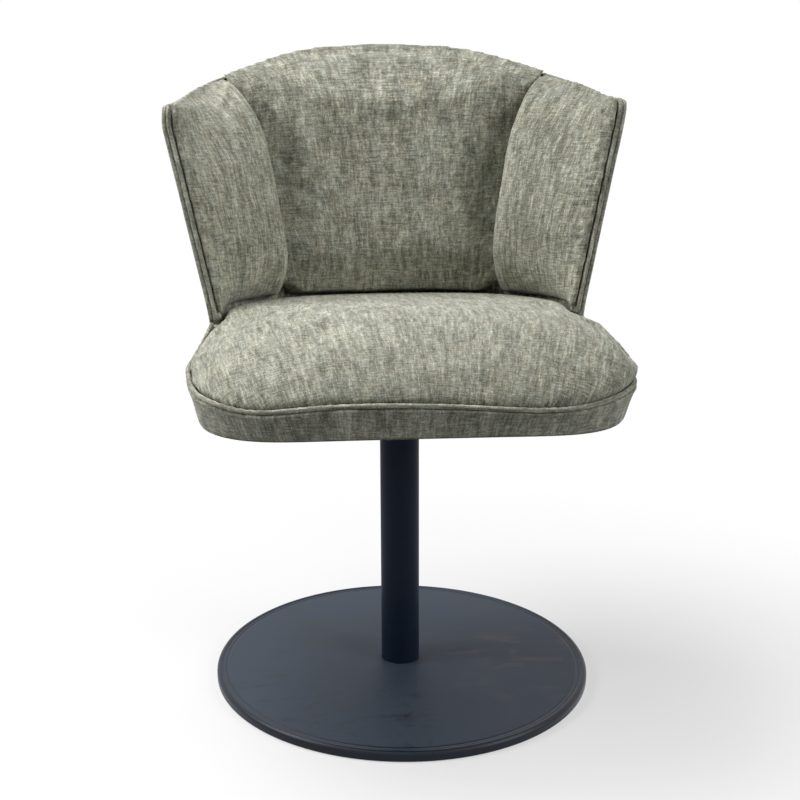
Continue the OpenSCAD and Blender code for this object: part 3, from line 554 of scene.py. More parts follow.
def relax(mesh, rounds, hold=None):
    # Moves each point half way to its neighbours' mean and half way back out, so that the form keeps its size
    pairs = np.empty(len(mesh.edges) * 2, np.int32)
    mesh.edges.foreach_get("vertices", pairs)
    a, b = pairs.reshape(-1, 2).T
    ends, others = np.concatenate([a, b]), np.concatenate([b, a])
    points = coordinates(mesh)
    count = np.bincount(ends, minlength=len(points))[:, None]
    for step in relaxSteps * rounds:
        mean = np.stack([np.bincount(ends, points[others, k], len(points)) for k in range(3)], 1) / count
        move = step * (mean - points)
        points = points + (move if hold is None else move * (1 - hold)[:, None])
    setCoordinates(mesh, points)


padCloth = {
    "quality": 5, "mass": 0.3, "tension_stiffness": 12, "compression_stiffness": 12, "shear_stiffness": 5,
    "bending_stiffness": 1.5, "use_pressure": True, "uniform_pressure_force": 4.0,
    "vertex_group_mass": "sewn",
}
clothRun = {"frames": 20, "quickShare": 0.8, "leastMove": 0.0002}


def swell(piece, sewn, cap):
    # Cloth under air pressure, held where sewn is true; no point moves further than its cap
    rest = coordinates(piece.data)
    cap = cap + clothRun["leastMove"]
    group = piece.vertex_groups.new(name=padCloth["vertex_group_mass"])
    group.add(np.flatnonzero(sewn).tolist(), 1.0, "REPLACE")
    cloth = piece.modifiers.new("Cloth", "CLOTH")
    for key, value in padCloth.items():
        setattr(cloth.settings, key, value)
    cloth.settings.effector_weights.gravity = 0
    cloth.collision_settings.use_collision = False
    cloth.point_cache.frame_start, cloth.point_cache.frame_end = 1, clothRun["frames"]
    for step in range(1, clothRun["frames"] + 1):
        bpy.context.scene.frame_set(step)
    settle(piece)
    piece.vertex_groups.clear()
    bpy.context.scene.frame_set(1)
    move = coordinates(piece.data) - rest
    length = np.linalg.norm(move, axis=1)
    move *= np.minimum(1, cap / np.maximum(length, 1e-9))[:, None]
    setCoordinates(piece.data, rest + move)
    most = np.linalg.norm(move, axis=1).max() * 1000
    print(piece.name, "points", len(rest), "swelled by up to %.1f mm" % most)


def voxels(piece, size):
    remesh = piece.modifiers.new("Remesh", "REMESH")
    remesh.mode, remesh.voxel_size = "VOXEL", size
    settle(piece)


def finer(piece):  # one subdivision, put into the mesh so that seams can follow
    subdivision = piece.modifiers.new("Subdivision", "SUBSURF")
    subdivision.levels = subdivision.render_levels = 1
    settle(piece)


# Seat: cushion, band and piping

# Lengths are in metres and heights are above the floor; powers above 2 make an outline squarer
seatForm = {
    "halfWidth": 0.2637, "widestAt": -0.055, "frontReach": 0.187, "rearReach": 0.250, "frontPower": 3.1,
    "rearPower": 2.6, "drawShare": 0.092, "drawFrom": -0.075, "drawTo": 0.015, "underside": 0.368,
    "boardTop": 0.384, "rim": 0.408, "climb": 0.066, "climbFrom": -0.100, "climbTo": 0.050, "crown": 0.484,
    "crownPower": 4.1, "frontCrownPower": 3.4, "edgePower": 1.6, "frontEdgePower": 1.4, "roundTo": -0.22,
    "roundReach": 0.13, "crownRise": 0.0039, "sideShift": 0.0055, "shiftTo": -0.09, "shiftReach": 0.1,
    "tuck": 0.004, "wingTuck": 0.0142, "tuckFrom": -0.02, "tuckReach": 0.0347,
}
# How the seam dips at the front's left and right and rises at the left side: amount, place and reach of each
seamDips = {
    "left": (0.0115, -0.200, 0.071), "right": (0.0123, 0.171, 0.120), "front": (-0.242, 0.054),
    "sideRise": (0.0174, -0.100, 0.040), "riseFrom": 0.05, "riseReach": 0.1,
}


def drawIn(y):  # the share of the width that is left where the seat narrows towards the wings
    f = seatForm
    return 1 - f["drawShare"] * ease((y - f["drawFrom"]) / (f["drawTo"] - f["drawFrom"]))


def seatAt(turn, share=1.0, inset=0.0):
    # A rounded square, each half with its own reach and power, drawn in towards the wings; turn 0 is right
    f = seatForm
    front = np.sin(turn) < 0
    power = np.where(front, f["frontPower"], f["rearPower"])
    reach = np.where(front, f["frontReach"], f["rearReach"]) - inset
    y = f["widestAt"] + reach * share * signed(np.sin(turn), 2 / power)
    whole = f["widestAt"] + reach * signed(np.sin(turn), 2 / power)
    return (f["halfWidth"] - inset) * share * signed(np.cos(turn), 2 / power) * drawIn(whole), y


def rimHeight(x, y):  # height of the seam between the cushion and the band
    f, dip = seatForm, seamDips
    climb = f["climb"] * ease((y - f["climbFrom"]) / (f["climbTo"] - f["climbFrom"]))
    dips = dip["left"][0] * bell(x, *dip["left"][1:]) + dip["right"][0] * bell(x, *dip["right"][1:])
    rise = dip["sideRise"][0] * bell(y, *dip["sideRise"][1:]) * past(-x, dip["riseFrom"], dip["riseReach"])
    return f["rim"] + climb + rise - dips * bell(y, *dip["front"])


def climbStretch(y):  # length of the climbing seam for each length of its plan, from the slope of its climb
    f = seatForm
    share = np.clip((y - f["climbFrom"]) / (f["climbTo"] - f["climbFrom"]), 0, 1)
    return np.hypot(1, 6 * share * (1 - share) * f["climb"] / (f["climbTo"] - f["climbFrom"]))


def tuckInset(y):  # how far inside the outline the cushion's edge lies, more where it goes behind the wings
    return seatForm["tuck"] + seatForm["wingTuck"] * past(y, seatForm["tuckFrom"], seatForm["tuckReach"])


def crownShare(share, y):
    # Height of the crown at a share of the way to the outline's place y; the crown is rounder at the front
    f = seatForm
    front = 1 - past(y, f["roundTo"], f["roundReach"])
    power = f["crownPower"] + (f["frontCrownPower"] - f["crownPower"]) * front
    edge = f["edgePower"] + (f["frontEdgePower"] - f["edgePower"]) * front
    return np.maximum(1 - np.minimum(share, 1) ** power, 0) ** (1 / edge)


def sideways(x, y):  # the photographed pad sits a little to the right of the column, more so at its front
    return x + seatForm["sideShift"] * (1 - past(y, seatForm["shiftTo"], seatForm["shiftReach"]))


def seatTop(x, y):
    # Height of the cushion's crown under a point, from the point's share of the rounded outline
    f = seatForm

    def gauge(draw):
        p, inset = f["rearPower"], tuckInset(y)
        return ((np.abs(x) / ((f["halfWidth"] - inset) * draw)) ** p
                + (np.abs(y - f["widestAt"]) / (f["rearReach"] - inset)) ** p) ** (1 / p)

    first = f["widestAt"] + (y - f["widestAt"]) / gauge(drawIn(y))
    share = gauge(drawIn(first))
    edge = f["widestAt"] + (y - f["widestAt"]) / share
    edge = f["widestAt"] + (edge - f["widestAt"]) * f["rearReach"] / (f["rearReach"] - tuckInset(edge))
    low = rimHeight(0, np.maximum(y, edge)) + f["crownRise"] * climbStretch(np.maximum(y, edge))
    return np.where(share >= 1, low, low + (f["crown"] - low) * crownShare(share, edge))


# shiftLeft and shiftRight carry the shoulders to the right of the seam, fully so from leanShare inside it
cushionLook = {
    "columns": 200, "rings": 30, "innermost": 0.985, "ringPower": 1.5, "lift": 0.0003, "wall": 0.0153,
    "wallClear": 0.004, "rearTuck": 0.024, "seamDrop": 0.003, "seamIn": 0.0045, "rimIn": 0.0012,
    "shiftLeft": 0.0085, "shiftRight": 0.0180, "shiftPower": 0.7, "shiftTo": -0.055, "shiftReach": 0.085,
    "leanShare": 0.05, "leanInner": 0.5, "leanReach": 0.4, "voxel": 0.0048, "relax": 6, "slack": 0.001,
    "cap": 0.0045, "sewnHeight": 0.007, "freeReach": 0.03, "sewn": 0.02, "underFrom": -0.03,
    "underReach": 0.07, "underHeld": 0.93, "relaxAgain": 4, "pucker": 0.0006, "puckerPitch": 0.0105,
    "puckerRadius": 0.23, "puckerLow": 0.004, "puckerHeight": 0.009, "filling": (0.0011, 0.11, 0.7),
    "fillingReach": 0.03, "folds": (0.00035, 0.03, 2.1), "foldsReach": 0.02, "topClear": 0.0003,
    "frontClear": 0.01, "clearFrom": -0.03, "clearReach": 0.05, "dropShare": 0.85,
}


def seatCushion(look):
    # Rings from the board up the hidden wall, over the seam at the piping and in to the crown's middle
    f = seatForm
    turn = np.linspace(0, 2 * np.pi, look["columns"], endpoint=False)
    x1, y1 = seatAt(turn)
    inset, rim = tuckInset(y1), rimHeight(x1, y1)
    wall = np.maximum(look["wall"], inset + look["wallClear"])
    shift = np.where(np.cos(turn) > 0, look["shiftRight"], look["shiftLeft"])
    aside = shift * np.abs(np.cos(turn)) ** look["shiftPower"]
    aside = aside * (1 - past(y1, look["shiftTo"], look["shiftReach"]))

    def ring(step, share, height, lean=0.0):
        x, y = seatAt(turn, share, step)
        return np.stack([sideways(x, y) + aside * lean, y, height + 0 * x], 1)

    low = np.maximum(look["wall"], inset + look["rearTuck"] * np.maximum(np.sin(turn), 0))
    rings = [ring(low, share, f["boardTop"] + look["lift"]) for share in (0.3, 0.6, 0.85, 1)]
    rings += [ring(wall, 1, rim - look["seamDrop"]), ring(inset + look["seamIn"], 1, rim)]
    start = rim + f["crownRise"] * climbStretch(y1)
    for share in 1 - np.linspace(0, look["innermost"], look["rings"]) ** look["ringPower"]:
        height = start + (f["crown"] - look["slack"] - start) * crownShare(share, y1)
        lean = min((1 - share) / look["leanShare"], 1) ** 0.5
        lean = lean * past(share, look["leanInner"], look["leanReach"])
        rings.append(ring(inset + look["rimIn"], share, height, lean))
    piece = ringsPiece("seatCushion", np.stack(rings), "seat", "chenille")
    voxels(piece, look["voxel"])
    relax(piece.data, look["relax"])
    # The seam holds the pad down, and so does the back cushion on its rear part
    points = coordinates(piece.data)
    free = past(points[:, 2], rimHeight(points[:, 0], points[:, 1]) + look["sewnHeight"], look["freeReach"])
    under = past(points[:, 1], look["underFrom"], look["underReach"])
    swell(piece, free < look["sewn"], look["cap"] * free * (1 - look["underHeld"] * under))
    relax(piece.data, look["relaxAgain"], 1 - free)
    finer(piece)
    # Small gathers along the seam above the piping, and a soft unevenness of the filling
    points, normals = coordinates(piece.data), vertexNormals(piece.data)
    above = points[:, 2] - rimHeight(points[:, 0], points[:, 1]) - look["puckerLow"]
    above = above / climbStretch(points[:, 1])
    run = np.arctan2(points[:, 1] - f["widestAt"], points[:, 0]) * look["puckerRadius"]
    near = np.exp(-np.maximum(above, 0) / look["puckerHeight"]) * (above > -look["puckerLow"])
    puckers = wavy(run, look["puckerPitch"], 1.5, 37) - 0.3
    move = look["pucker"] * near * puckers * (0.55 + 0.45 * np.sin(run * 23 + 1))
    move += uneven(points, look["filling"]) * ease(above / look["fillingReach"])
    move += uneven(points, look["folds"]) * ease(above / look["foldsReach"])
    points += normals * move[:, None]
    # The pad stays under what stands on it, and is free to rise at the front
    most = seatTop(points[:, 0], points[:, 1]) + look["topClear"]
    most += look["frontClear"] * past(-points[:, 1], look["clearFrom"], look["clearReach"])
    points[:, 2] = np.minimum(points[:, 2], most)
    setCoordinates(piece.data, points)
    drop = np.maximum(f["crown"] - points[:, 2], 0) * look["dropShare"]
    radius = np.hypot(points[:, 0], points[:, 1] - f["widestAt"])
    spread = 1 + drop / np.maximum(radius, 0.05)
    storeCloth(piece, points[:, 0] * spread, (points[:, 1] - f["widestAt"]) * spread, 0.0)
    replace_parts(piece, "seat_cushion")


seatCushion(cushionLook)

# Insets are measured in from the seat's outline
bandLook = {
    "columns": 260, "rows": 30, "thick": 0.015, "draft": 0.0098, "roll": 0.004, "puff": 0.0014, "lip": 0.0026,
    "lipShare": 0.1, "footRoll": 0.003, "footShare": 0.07, "topInsets": (0.006, 0.010), "footInset": 0.0148,
    "seamDrop": 0.0033, "lift": 0.0003, "endAt": 0.0147, "pipingEndAt": 0.0087,
    "cornerDrop": 0.005, "cornerAt": 0.205, "cornerWidth": 0.085, "cornerFrom": 0.04, "cornerReach": 0.1,
    "filling": (0.0005, 0.07, 3.3), "folds": (0.0003, 0.022, 1.2), "softFrom": 0.37, "softReach": 0.01,
}
pipingLook = {"columns": 560, "inset": 0.0040}


def sideTurn(y):  # how far past the side, in radians, the outline reaches a place y
    f = seatForm
    return math.asin(((y - f["widestAt"]) / f["rearReach"]) ** (f["rearPower"] / 2))


def frontTurns(y, count):
    # Turns from a place y on the left side, round the front, to the same place on the right
    end = sideTurn(y)
    return np.linspace(np.pi - end, 2 * np.pi + end, count)


def seatBand(look):
    # One closed section carried round the front: up the outside, over the seam, and down the inside
    f = seatForm
    turn = frontTurns(look["endAt"], look["columns"])
    share = np.linspace(0, 1, look["rows"])
    outer = look["draft"] * (1 - share ** 3) + look["roll"] * (1 - share) ** 3
    outer = outer - look["puff"] * np.sin(np.pi * share ** 1.3)
    outer += look["lip"] * past(share, 1 - look["lipShare"], look["lipShare"]) ** 2
    outer += look["footRoll"] * ease((look["footShare"] - share) / look["footShare"])
    inside = [0.75, 0.5, 0.25, 0.0]
    insets = [outer, look["topInsets"], [look["thick"]], [look["thick"]] * len(inside), [look["footInset"]]]
    insets = np.concatenate(insets)
    heights = np.concatenate([share, [1, 1, 1], inside, [0.0]])
    x1, y1 = seatAt(turn)
    top = rimHeight(x1, y1) - look["seamDrop"] * climbStretch(y1)
    x, y = seatAt(turn[:, None], 1.0, insets[None])
    # The lower edge hangs a little lower at the two front corners
    corner = bell(np.abs(x), look["cornerAt"], look["cornerWidth"])
    corner = corner * past(-y, look["cornerFrom"], look["cornerReach"])
    foot = f["underside"] + look["lift"] - look["cornerDrop"] * corner
    z = foot + heights[None] * (top[:, None] - foot)
    piece = ringsPiece("seatBand", np.stack([sideways(x, y), y, z], -1), "seat", "chenille")
    points, outside = coordinates(piece.data), vertexNormals(piece.data)
    soft = uneven(points, look["filling"]) + uneven(points, look["folds"])
    soft = soft * past(points[:, 2], look["softFrom"], look["softReach"])
    setCoordinates(piece.data, points + outside * soft[:, None])
    run = distances(np.stack([x1, y1], 1))
    across = np.concatenate([np.repeat(run, len(insets)), run[[0, -1]]])
    along = np.concatenate([(z - insets[None] * (heights[None] < 0.01)).ravel(), [0.38, 0.38]])
    storeCloth(piece, across, along, 0.31)
    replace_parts(piece, "seat_band")


seatBand(bandLook)


def seatPiping(look):
    # A covered cord that lies in the seam between the cushion and the band
    turn = frontTurns(bandLook["pipingEndAt"], look["columns"])
    x1, y1 = seatAt(turn)
    x, y = seatAt(turn, 1.0, look["inset"])
    path = np.stack([sideways(x, y), y, rimHeight(x1, y1)], 1)
    piece = cordPiece("seatPiping", path, np.stack([x1, y1 - seatForm["widestAt"], 0 * x1], 1), 0.57)
    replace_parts(piece, "seat_piping")


seatPiping(pipingLook)
print("seat made")

# Back: cover, lining, cushions and piping

# Depths are measured in from the outside of the back, and turns from the middle of the back
backForm = {
    "halfWidth": 0.2359775, "depth": 0.187, "foot": 0.466, "corner": 0.726, "top": 0.814, "edge": 0.015,
    "flare": 0.215, "recline": 0.16, "lean": 0.1, "footFlare": 0.05, "bend": 0.03, "power": 2.35,
    "topPower": 1.65, "cornerRound": 0.0087, "liningAt": 0.0126, "liningEnd": 0.0156, "cushionAt": 0.0162,
    "pipingAt": 0.0085, "edgeCorner": 0.012, "standClear": 0.0012, "restClear": 0.0006,
    "layerClear": 0.0005, "leastDepth": -0.03, "mostDepth": 0.15, "halvings": 24,
}


def bendRise(z):  # rises straight above the bend, not at all below it, and along a parabola in it
    f = backForm
    t = z - f["foot"]
    return np.where(t <= -f["bend"], 0, np.where(t >= f["bend"], t, (t + f["bend"]) ** 2 / (4 * f["bend"])))


def slopeOut(z, slope):
    return backForm["footFlare"] * (z - backForm["foot"]) + (slope - backForm["footFlare"]) * bendRise(z)


def backReach(z, depth):  # half width, reach behind the edge and the edge's own place at a height
    f = backForm
    return (f["halfWidth"] + slopeOut(z, f["flare"]) - depth, f["depth"] + slopeOut(z, f["recline"]) - depth,
            f["edge"] + f["lean"] * bendRise(z))


def backAt(turn, z, depth):
    # A rounded arc that widens and leans back with height
    wide, deep, edge = backReach(z, depth)
    p = 2 / backForm["power"]
    x = wide * signed(np.sin(turn), p)
    return np.stack([x, edge + deep * signed(np.cos(turn), p) + 0 * x, z + 0 * x], -1)


def behindEdge(points):  # how far points lie behind the upright front edge of the back
    return points[:, 1] - backReach(points[:, 2], 0)[2]


def backTop(turn):
    # Height of the top edge: a bow over the back that drops round a small corner at the front edge
    f = backForm
    bow = np.abs(np.cos(turn))
    behind = backReach(f["corner"], f["liningAt"])[1] * bow ** (2 / f["power"])
    r = f["cornerRound"]
    drop = np.where(behind > r, 0, r - np.sqrt(np.maximum(r * r - (r - behind) ** 2, 0)))
    return f["corner"] + (f["top"] - f["corner"]) * bow ** f["topPower"] - drop


def backPlace(points):
    # Turn and depth of a point of the back, by halving the range of depths in which its rounded arc must lie
    f = backForm
    x, y, z = points.T
    p = f["power"]
    low, high = np.full(len(x), f["leastDepth"]), np.full(len(x), f["mostDepth"])
    for _ in range(f["halvings"]):
        mid = (low + high) / 2
        wide, deep, edge = backReach(z, mid)
        outside = (np.abs(x) / wide) ** p + (np.maximum(y - edge, 0) / deep) ** p > 1
        low, high = np.where(outside, low, mid), np.where(outside, mid, high)
    wide, deep, edge = backReach(z, mid)
    turn = np.arctan2(signed(x / wide, p / 2), (np.maximum(y - edge, 0) / deep) ** (p / 2))
    return turn, mid


def standHeight(turn, depth):  # where a cushion of the back stands on the seat's crown
    clear = backForm["standClear"]
    p = backAt(turn, np.full(np.shape(turn), seatForm["crown"] - clear), depth)
    q = backAt(turn, seatTop(p[..., 0], p[..., 1]), depth)
    return np.maximum(seatTop(q[..., 0], q[..., 1]) + clear, backForm["foot"] + clear)


# The wings' inner edge, in degrees from the middle of the back, and the gap between it and the back cushion
junction = {
    "middle": 38.5, "topOut": 9, "footOut": 5, "gap": 1.1, "closes": 0.95, "closesFrom": 0.8,
    "closesReach": 0.15,
}


def wingInner(share):  # inner edge of the wings at a share of the height
    top, foot = junction["topOut"] * share ** 2, junction["footOut"] * (1 - share) ** 3
    return np.radians(junction["middle"] + top + foot)


def padGap(share):  # the gap beside the back cushion, nearly closed at the top
    closed = past(share, junction["closesFrom"], junction["closesReach"])
    return np.radians(junction["gap"] - junction["closes"] * closed)


def padAt(turn, share, depth, over):
    # A point of a pad at a share of the height from the seat to over the top edge
    low = standHeight(turn, depth)
    return backAt(turn, low + (backTop(turn) + over - low) * share, depth)


def outline(number):  # the point numbers round the edge of a grid
    return np.concatenate([number[0], number[1:, -1], number[-1, -2::-1], number[-2:0:-1, 0]])


def slabForm(face, rear):
    # A closed slab between two grids of points of the same size
    rows, columns = face.shape[:2]
    count = rows * columns
    loop = outline(np.arange(count).reshape(rows, columns))
    faces = gridFaces(rows, columns) + [f[::-1] for f in gridFaces(rows, columns, first=count)]
    following = np.roll(loop, -1)
    faces += np.stack([following, loop, loop + count, following + count], 1).tolist()
    return np.concatenate([face.reshape(-1, 3), rear.reshape(-1, 3)]), faces


# The columns lie closer together towards the front edges, and the rows towards the top
shellGrid = {"columns": 121, "columnPower": 1.25, "rowPower": 1.15}
shellTurns = np.linspace(-1, 1, shellGrid["columns"])
shellTurns = np.sign(shellTurns) * (1 - (1 - np.abs(shellTurns)) ** shellGrid["columnPower"]) * np.pi / 2


def shellRows(turn, low, rows):  # heights from low to the top edge
    share = 1 - (1 - np.linspace(0, 1, rows)[None]) ** shellGrid["rowPower"]
    return low + (backTop(turn)[:, None] - low) * share


edgeSteps = {"side": 90, "corner": 16, "top": 120}


def edgePath(depth, ahead, over, low, until=0.0):
    # From the foot up the right front edge, round the corner on an arc, and over the top as far as a turn
    f = backForm
    r = f["edgeCorner"]
    climb = np.linspace(low, f["corner"] + over - r, edgeSteps["side"])[:-1]
    quarter = np.linspace(0, np.pi / 2, edgeSteps["corner"])
    behind = np.concatenate([np.full(len(climb), -ahead), r * (1 - np.cos(quarter)) - ahead])
    height = np.concatenate([climb, f["corner"] + over - r * (1 - np.sin(quarter))])
    deep = backReach(height, depth)[1]
    turn = np.arccos(np.clip(np.maximum(behind, 0) / deep, 0, 1) ** (f["power"] / 2))
    side = backAt(turn, height, depth)
    side[:, 1] += np.minimum(behind, 0)
    beyond = np.linspace(turn[-1], until, edgeSteps["top"])[1:]
    return np.concatenate([side, backAt(beyond, backTop(beyond) + over, depth)])


def evenly(path, count):  # the same path at points that lie evenly along it
    run = distances(path)
    return np.stack([np.interp(np.linspace(0, run[-1], count), run, path[:, k]) for k in range(3)], 1)


# A pair is the place where an effect starts and its reach; in dipAt it is the dip's middle and reach
cornerLook = {
    "lowerLeft": 0.0015, "wingFrom": (0.10, 0.10), "wingAbove": (0.66, 0.07),
    "inLeft": 0.0050, "inRight": 0.0010, "cornerFrom": (0.235, 0.035), "cornerAbove": (0.700, 0.03),
    "dip": 0.0035, "dipAt": (0.195, 0.05), "dipAbove": (0.66, 0.09),
}


def softCorner(points, look=cornerLook):
    # The tops dip beside the back cushion, the left wing's lies lower, and the cloth pulls the corners in
    x, z = points[..., 0], points[..., 2]
    wing = past(-x, *look["wingFrom"]) * past(z, *look["wingAbove"])
    corner = past(np.abs(x), *look["cornerFrom"]) * past(z, *look["cornerAbove"])
    dip = look["dip"] * bell(np.abs(x), *look["dipAt"]) * past(z, *look["dipAbove"])
    moved = points.copy()
    moved[..., 0] += corner * np.where(x < 0, look["inLeft"], -look["inRight"])
    moved[..., 2] -= look["lowerLeft"] * wing + dip
    return moved


# girth is a length for each radian of turn, roll the rolled edge's radius, and a wrap how deep it turns in
coverLook = {
    "rows": 76, "foot": 0.3692, "cloth": 0.0009, "girth": 0.24,
    "roll": 0.0031, "rollFrom": 0.4632, "rollReach": 0.007, "leastRoll": 0.0001, "footRoll": 0.001,
    "rollTurns": (25, 50, 75, 90), "inShares": (0.35, 0.7, 1.0), "facesDown": -0.3,
    "wrap": 0.0054, "footWrap": 0.0122, "deepWrap": 0.0157, "wrapReach": 0.002, "flush": 0.0003,
    "hem": 0.0001, "footHem": 0.0002,
    "seamAt": 54.0, "seamReach": 0.024, "seamColumns": 9, "seamDepth": 0.0022, "seamWidth": 0.0030,
    "gather": 0.0004, "gatherReach": 0.008, "gatherPitch": 0.011,
    "puff": 0.0012, "puffReach": 0.03, "filling": (0.0007, 0.12, 4.4), "folds": (0.0003, 0.035, 0.4),
}


def outerCover(look):
    # The outside of the back, with two upright seams; its free edges roll over the shell's edge to the piping
    f = backForm
    seamTurn = math.radians(look["seamAt"])
    seam = seamTurn + np.linspace(-look["seamReach"], look["seamReach"], look["seamColumns"])
    turn = np.unique(np.concatenate([shellTurns, seam, -seam]))
    z = shellRows(turn, look["foot"], look["rows"])
    grid = backAt(turn[:, None] + 0 * z, z, 0 * z)
    normal = np.cross(np.gradient(grid, axis=0), np.gradient(grid, axis=1))
    normal /= np.linalg.norm(normal, axis=-1, keepdims=True)
    outward = np.stack([grid[..., 0], grid[..., 1] - f["edge"], 0 * z], -1)
    normal *= np.sign((normal * outward).sum(-1, keepdims=True) + 1e-9)
    tall = past(z, look["foot"], look["puffReach"]) * ease((backTop(turn)[:, None] - z) / look["puffReach"])
    tall = tall * np.cos(turn * 0.98)[:, None] ** 0.3
    gap = (np.abs(turn) - seamTurn)[:, None] * look["girth"]
    groove = look["seamDepth"] * bell(gap, 0, look["seamWidth"])
    gathers = look["gather"] * np.exp(-np.abs(gap) / look["gatherReach"])
    gathers = gathers * wavy(z, look["gatherPitch"], 1.3, 90)
    flat = grid.reshape(-1, 3)
    soft = (uneven(flat, look["filling"]) + uneven(flat, look["folds"])).reshape(z.shape)
    grid = grid + normal * ((look["puff"] * tall - groove + (gathers + soft) * tall)[..., None])
    # The rolled edge: a quarter circle out of the boundary, straight in to the piping, and back under itself
    rows, columns = z.shape
    number = np.arange(rows * columns).reshape(rows, columns)
    loop = outline(number)
    inner = np.concatenate([number[1], number[1:, -2], number[-2, -2::-1], number[-2:0:-1, 1]])
    flat, across = grid.reshape(-1, 3), normal.reshape(-1, 3)[loop]
    edge = flat[loop]
    out = np.cross(np.roll(edge, -1, 0) - np.roll(edge, 1, 0), across)
    out /= np.linalg.norm(out, axis=1, keepdims=True)
    out *= np.sign((out * (edge - flat[inner])).sum(1, keepdims=True))
    under = (out[:, 2] < look["facesDown"])[:, None]
    roll = look["roll"] * past(edge[:, 2], look["rollFrom"], look["rollReach"]) + look["leastRoll"]
    roll = np.where(under, look["footRoll"], roll[:, None])
    high = past(edge[:, 2], f["foot"], look["wrapReach"])[:, None]
    wrap = look["wrap"] + (look["footWrap"] - look["wrap"]) * (1 - high)
    wrap = np.where(under, look["wrap"], wrap)
    deep = look["footWrap"] + (look["deepWrap"] - look["footWrap"]) * high
    deep = np.where(under, wrap + look["footHem"], deep)
    flush = np.where(under, roll, np.minimum(roll, look["flush"]))
    turns = np.radians(look["rollTurns"])
    strips = [edge + out * roll * math.sin(q) - across * roll * (1 - math.cos(q)) for q in turns]
    strips += [edge + out * roll - across * (roll + (wrap - roll) * share) for share in look["inShares"]]
    strips += [edge + out * flush - across * (wrap + look["hem"]), edge + out * flush - across * deep]
    beyond = rows * columns + np.arange(len(strips) * len(loop)).reshape(len(strips), len(loop))
    ring = np.concatenate([loop[None], beyond])
    a, b = ring[:-1], np.roll(ring[:-1], -1, 1)
    c, d = np.roll(ring[1:], -1, 1), ring[1:]
    faces = gridFaces(rows, columns)
    middle = len(faces) // 2
    faces += np.stack([b, a, d, c], -1).reshape(-1, 4).tolist()
    piece = newPiece("outerCover", softCorner(np.concatenate([flat, *strips])), faces, "seat", "chenille")
    if piece.data.polygons[middle].normal.y < 0:
        piece.data.flip_normals()
    wall = piece.modifiers.new("Thickness", "SOLIDIFY")
    wall.thickness, wall.offset, wall.use_even_offset = look["cloth"], -1, False
    settle(piece)
    points = coordinates(piece.data)
    angle, depth = backPlace(points)
    ahead = np.maximum(-behindEdge(points), 0)
    run = np.abs(angle) * look["girth"] + ahead + np.maximum(depth, 0)
    storeCloth(piece, np.sign(angle) * run, points[:, 2], 0.83)
    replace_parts(piece, "back_cover")


# The layers' front edges stand a little back from the cover's, and the shell's foot above the cover's foot
layerLook = {
    "rows": 40, "setBack": 0.0007, "dropReach": 0.1, "edgePower": 8,
    "shellFoot": 0.3705, "shellAt": 0.0043, "shellEnd": 0.0123, "girth": 0.22,
}


def backLayer(name, slot, low, outer, inner, look=layerLook):
    # A layer of the back between two depths
    turn, back = shellTurns, look["setBack"]
    z = shellRows(turn, low, look["rows"])
    z = z - back * ease((z - z.min()) / look["dropReach"])

    def face(depth):
        grid = backAt(turn[:, None] + 0 * z, z, depth + 0 * z)
        grid[..., 1] += back * np.abs(np.sin(turn[:, None])) ** look["edgePower"]
        return softCorner(grid)

    return newPiece(name, *slabForm(face(inner), face(outer)), "seat", slot)


shell = backLayer("backShell", "plywood", layerLook["shellFoot"], layerLook["shellAt"], layerLook["shellEnd"])
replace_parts(shell, "back_shell")
outerCover(coverLook)


def innerLining(look):
    # The cloth behind the cushions, seen only in the small gaps between them
    f = backForm
    piece = backLayer("innerLining", "chenille", f["foot"], f["liningAt"], f["liningEnd"])
    points = coordinates(piece.data)
    angle, depth = backPlace(points)
    storeCloth(piece, angle * look["girth"], points[:, 2], 1.17)
    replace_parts(piece, "back_lining")


innerLining(layerLook)

# Each pad of the back is a slab with a rolled rim along its free edges, remeshed into one form
padLook = {
    "slack": 0.0015, "cap": 0.008, "relax": 5, "relaxAgain": 4, "heldAt": 0.006, "heldReach": 0.005,
    "held": 0.97, "rimSides": 16, "topReach": 0.03, "topTurn": 0.8,
}


def joined(name, forms, body, slot):
    # Several closed forms in one mesh; each form is its points and its faces
    points, faces, count = [], [], 0
    for flat, cells in forms:
        points.append(flat)
        faces += [[corner + count for corner in cell] for cell in cells]
        count += len(flat)
    return newPiece(name, np.concatenate(points), faces, body, slot)


def rimForm(path, look):  # a roll along a path, which faces away from the middle of the back's edge
    outs = path - (0, backForm["edge"], 0) - path * (0, 0, 1)
    return ringsForm(sweep(path, outs, look["rimRadius"], look["rimSides"]))


def keepOut(points):
    # Pushes points out of the layers behind the pads: forwards, in over the edge's front, or up over its top
    f = backForm
    angle, depth = backPlace(points)
    front = behindEdge(points) + f["layerClear"]
    rise = backTop(angle) + f["layerClear"] - points[:, 2]
    inward = f["cushionAt"] - depth
    wrong = (front > 0) & (rise > 0) & (inward > 0)
    least = np.minimum(np.minimum(front, rise), inward)
    moved = points.copy()
    moved[:, 1] -= np.where(wrong & (least == front), front, 0)
    moved[:, 2] += np.where(wrong & (least == rise) & (least < front), rise, 0)
    pushed = backAt(angle, points[:, 2], np.full(len(points), f["cushionAt"]))
    return np.where((wrong & (least == inward) & (least < front) & (least < rise))[:, None], pushed, moved)


def keepUp(points):  # holds points above the seat's cushion
    points[:, 2] = np.maximum(points[:, 2], seatTop(points[:, 0], points[:, 1]) + backForm["restClear"])


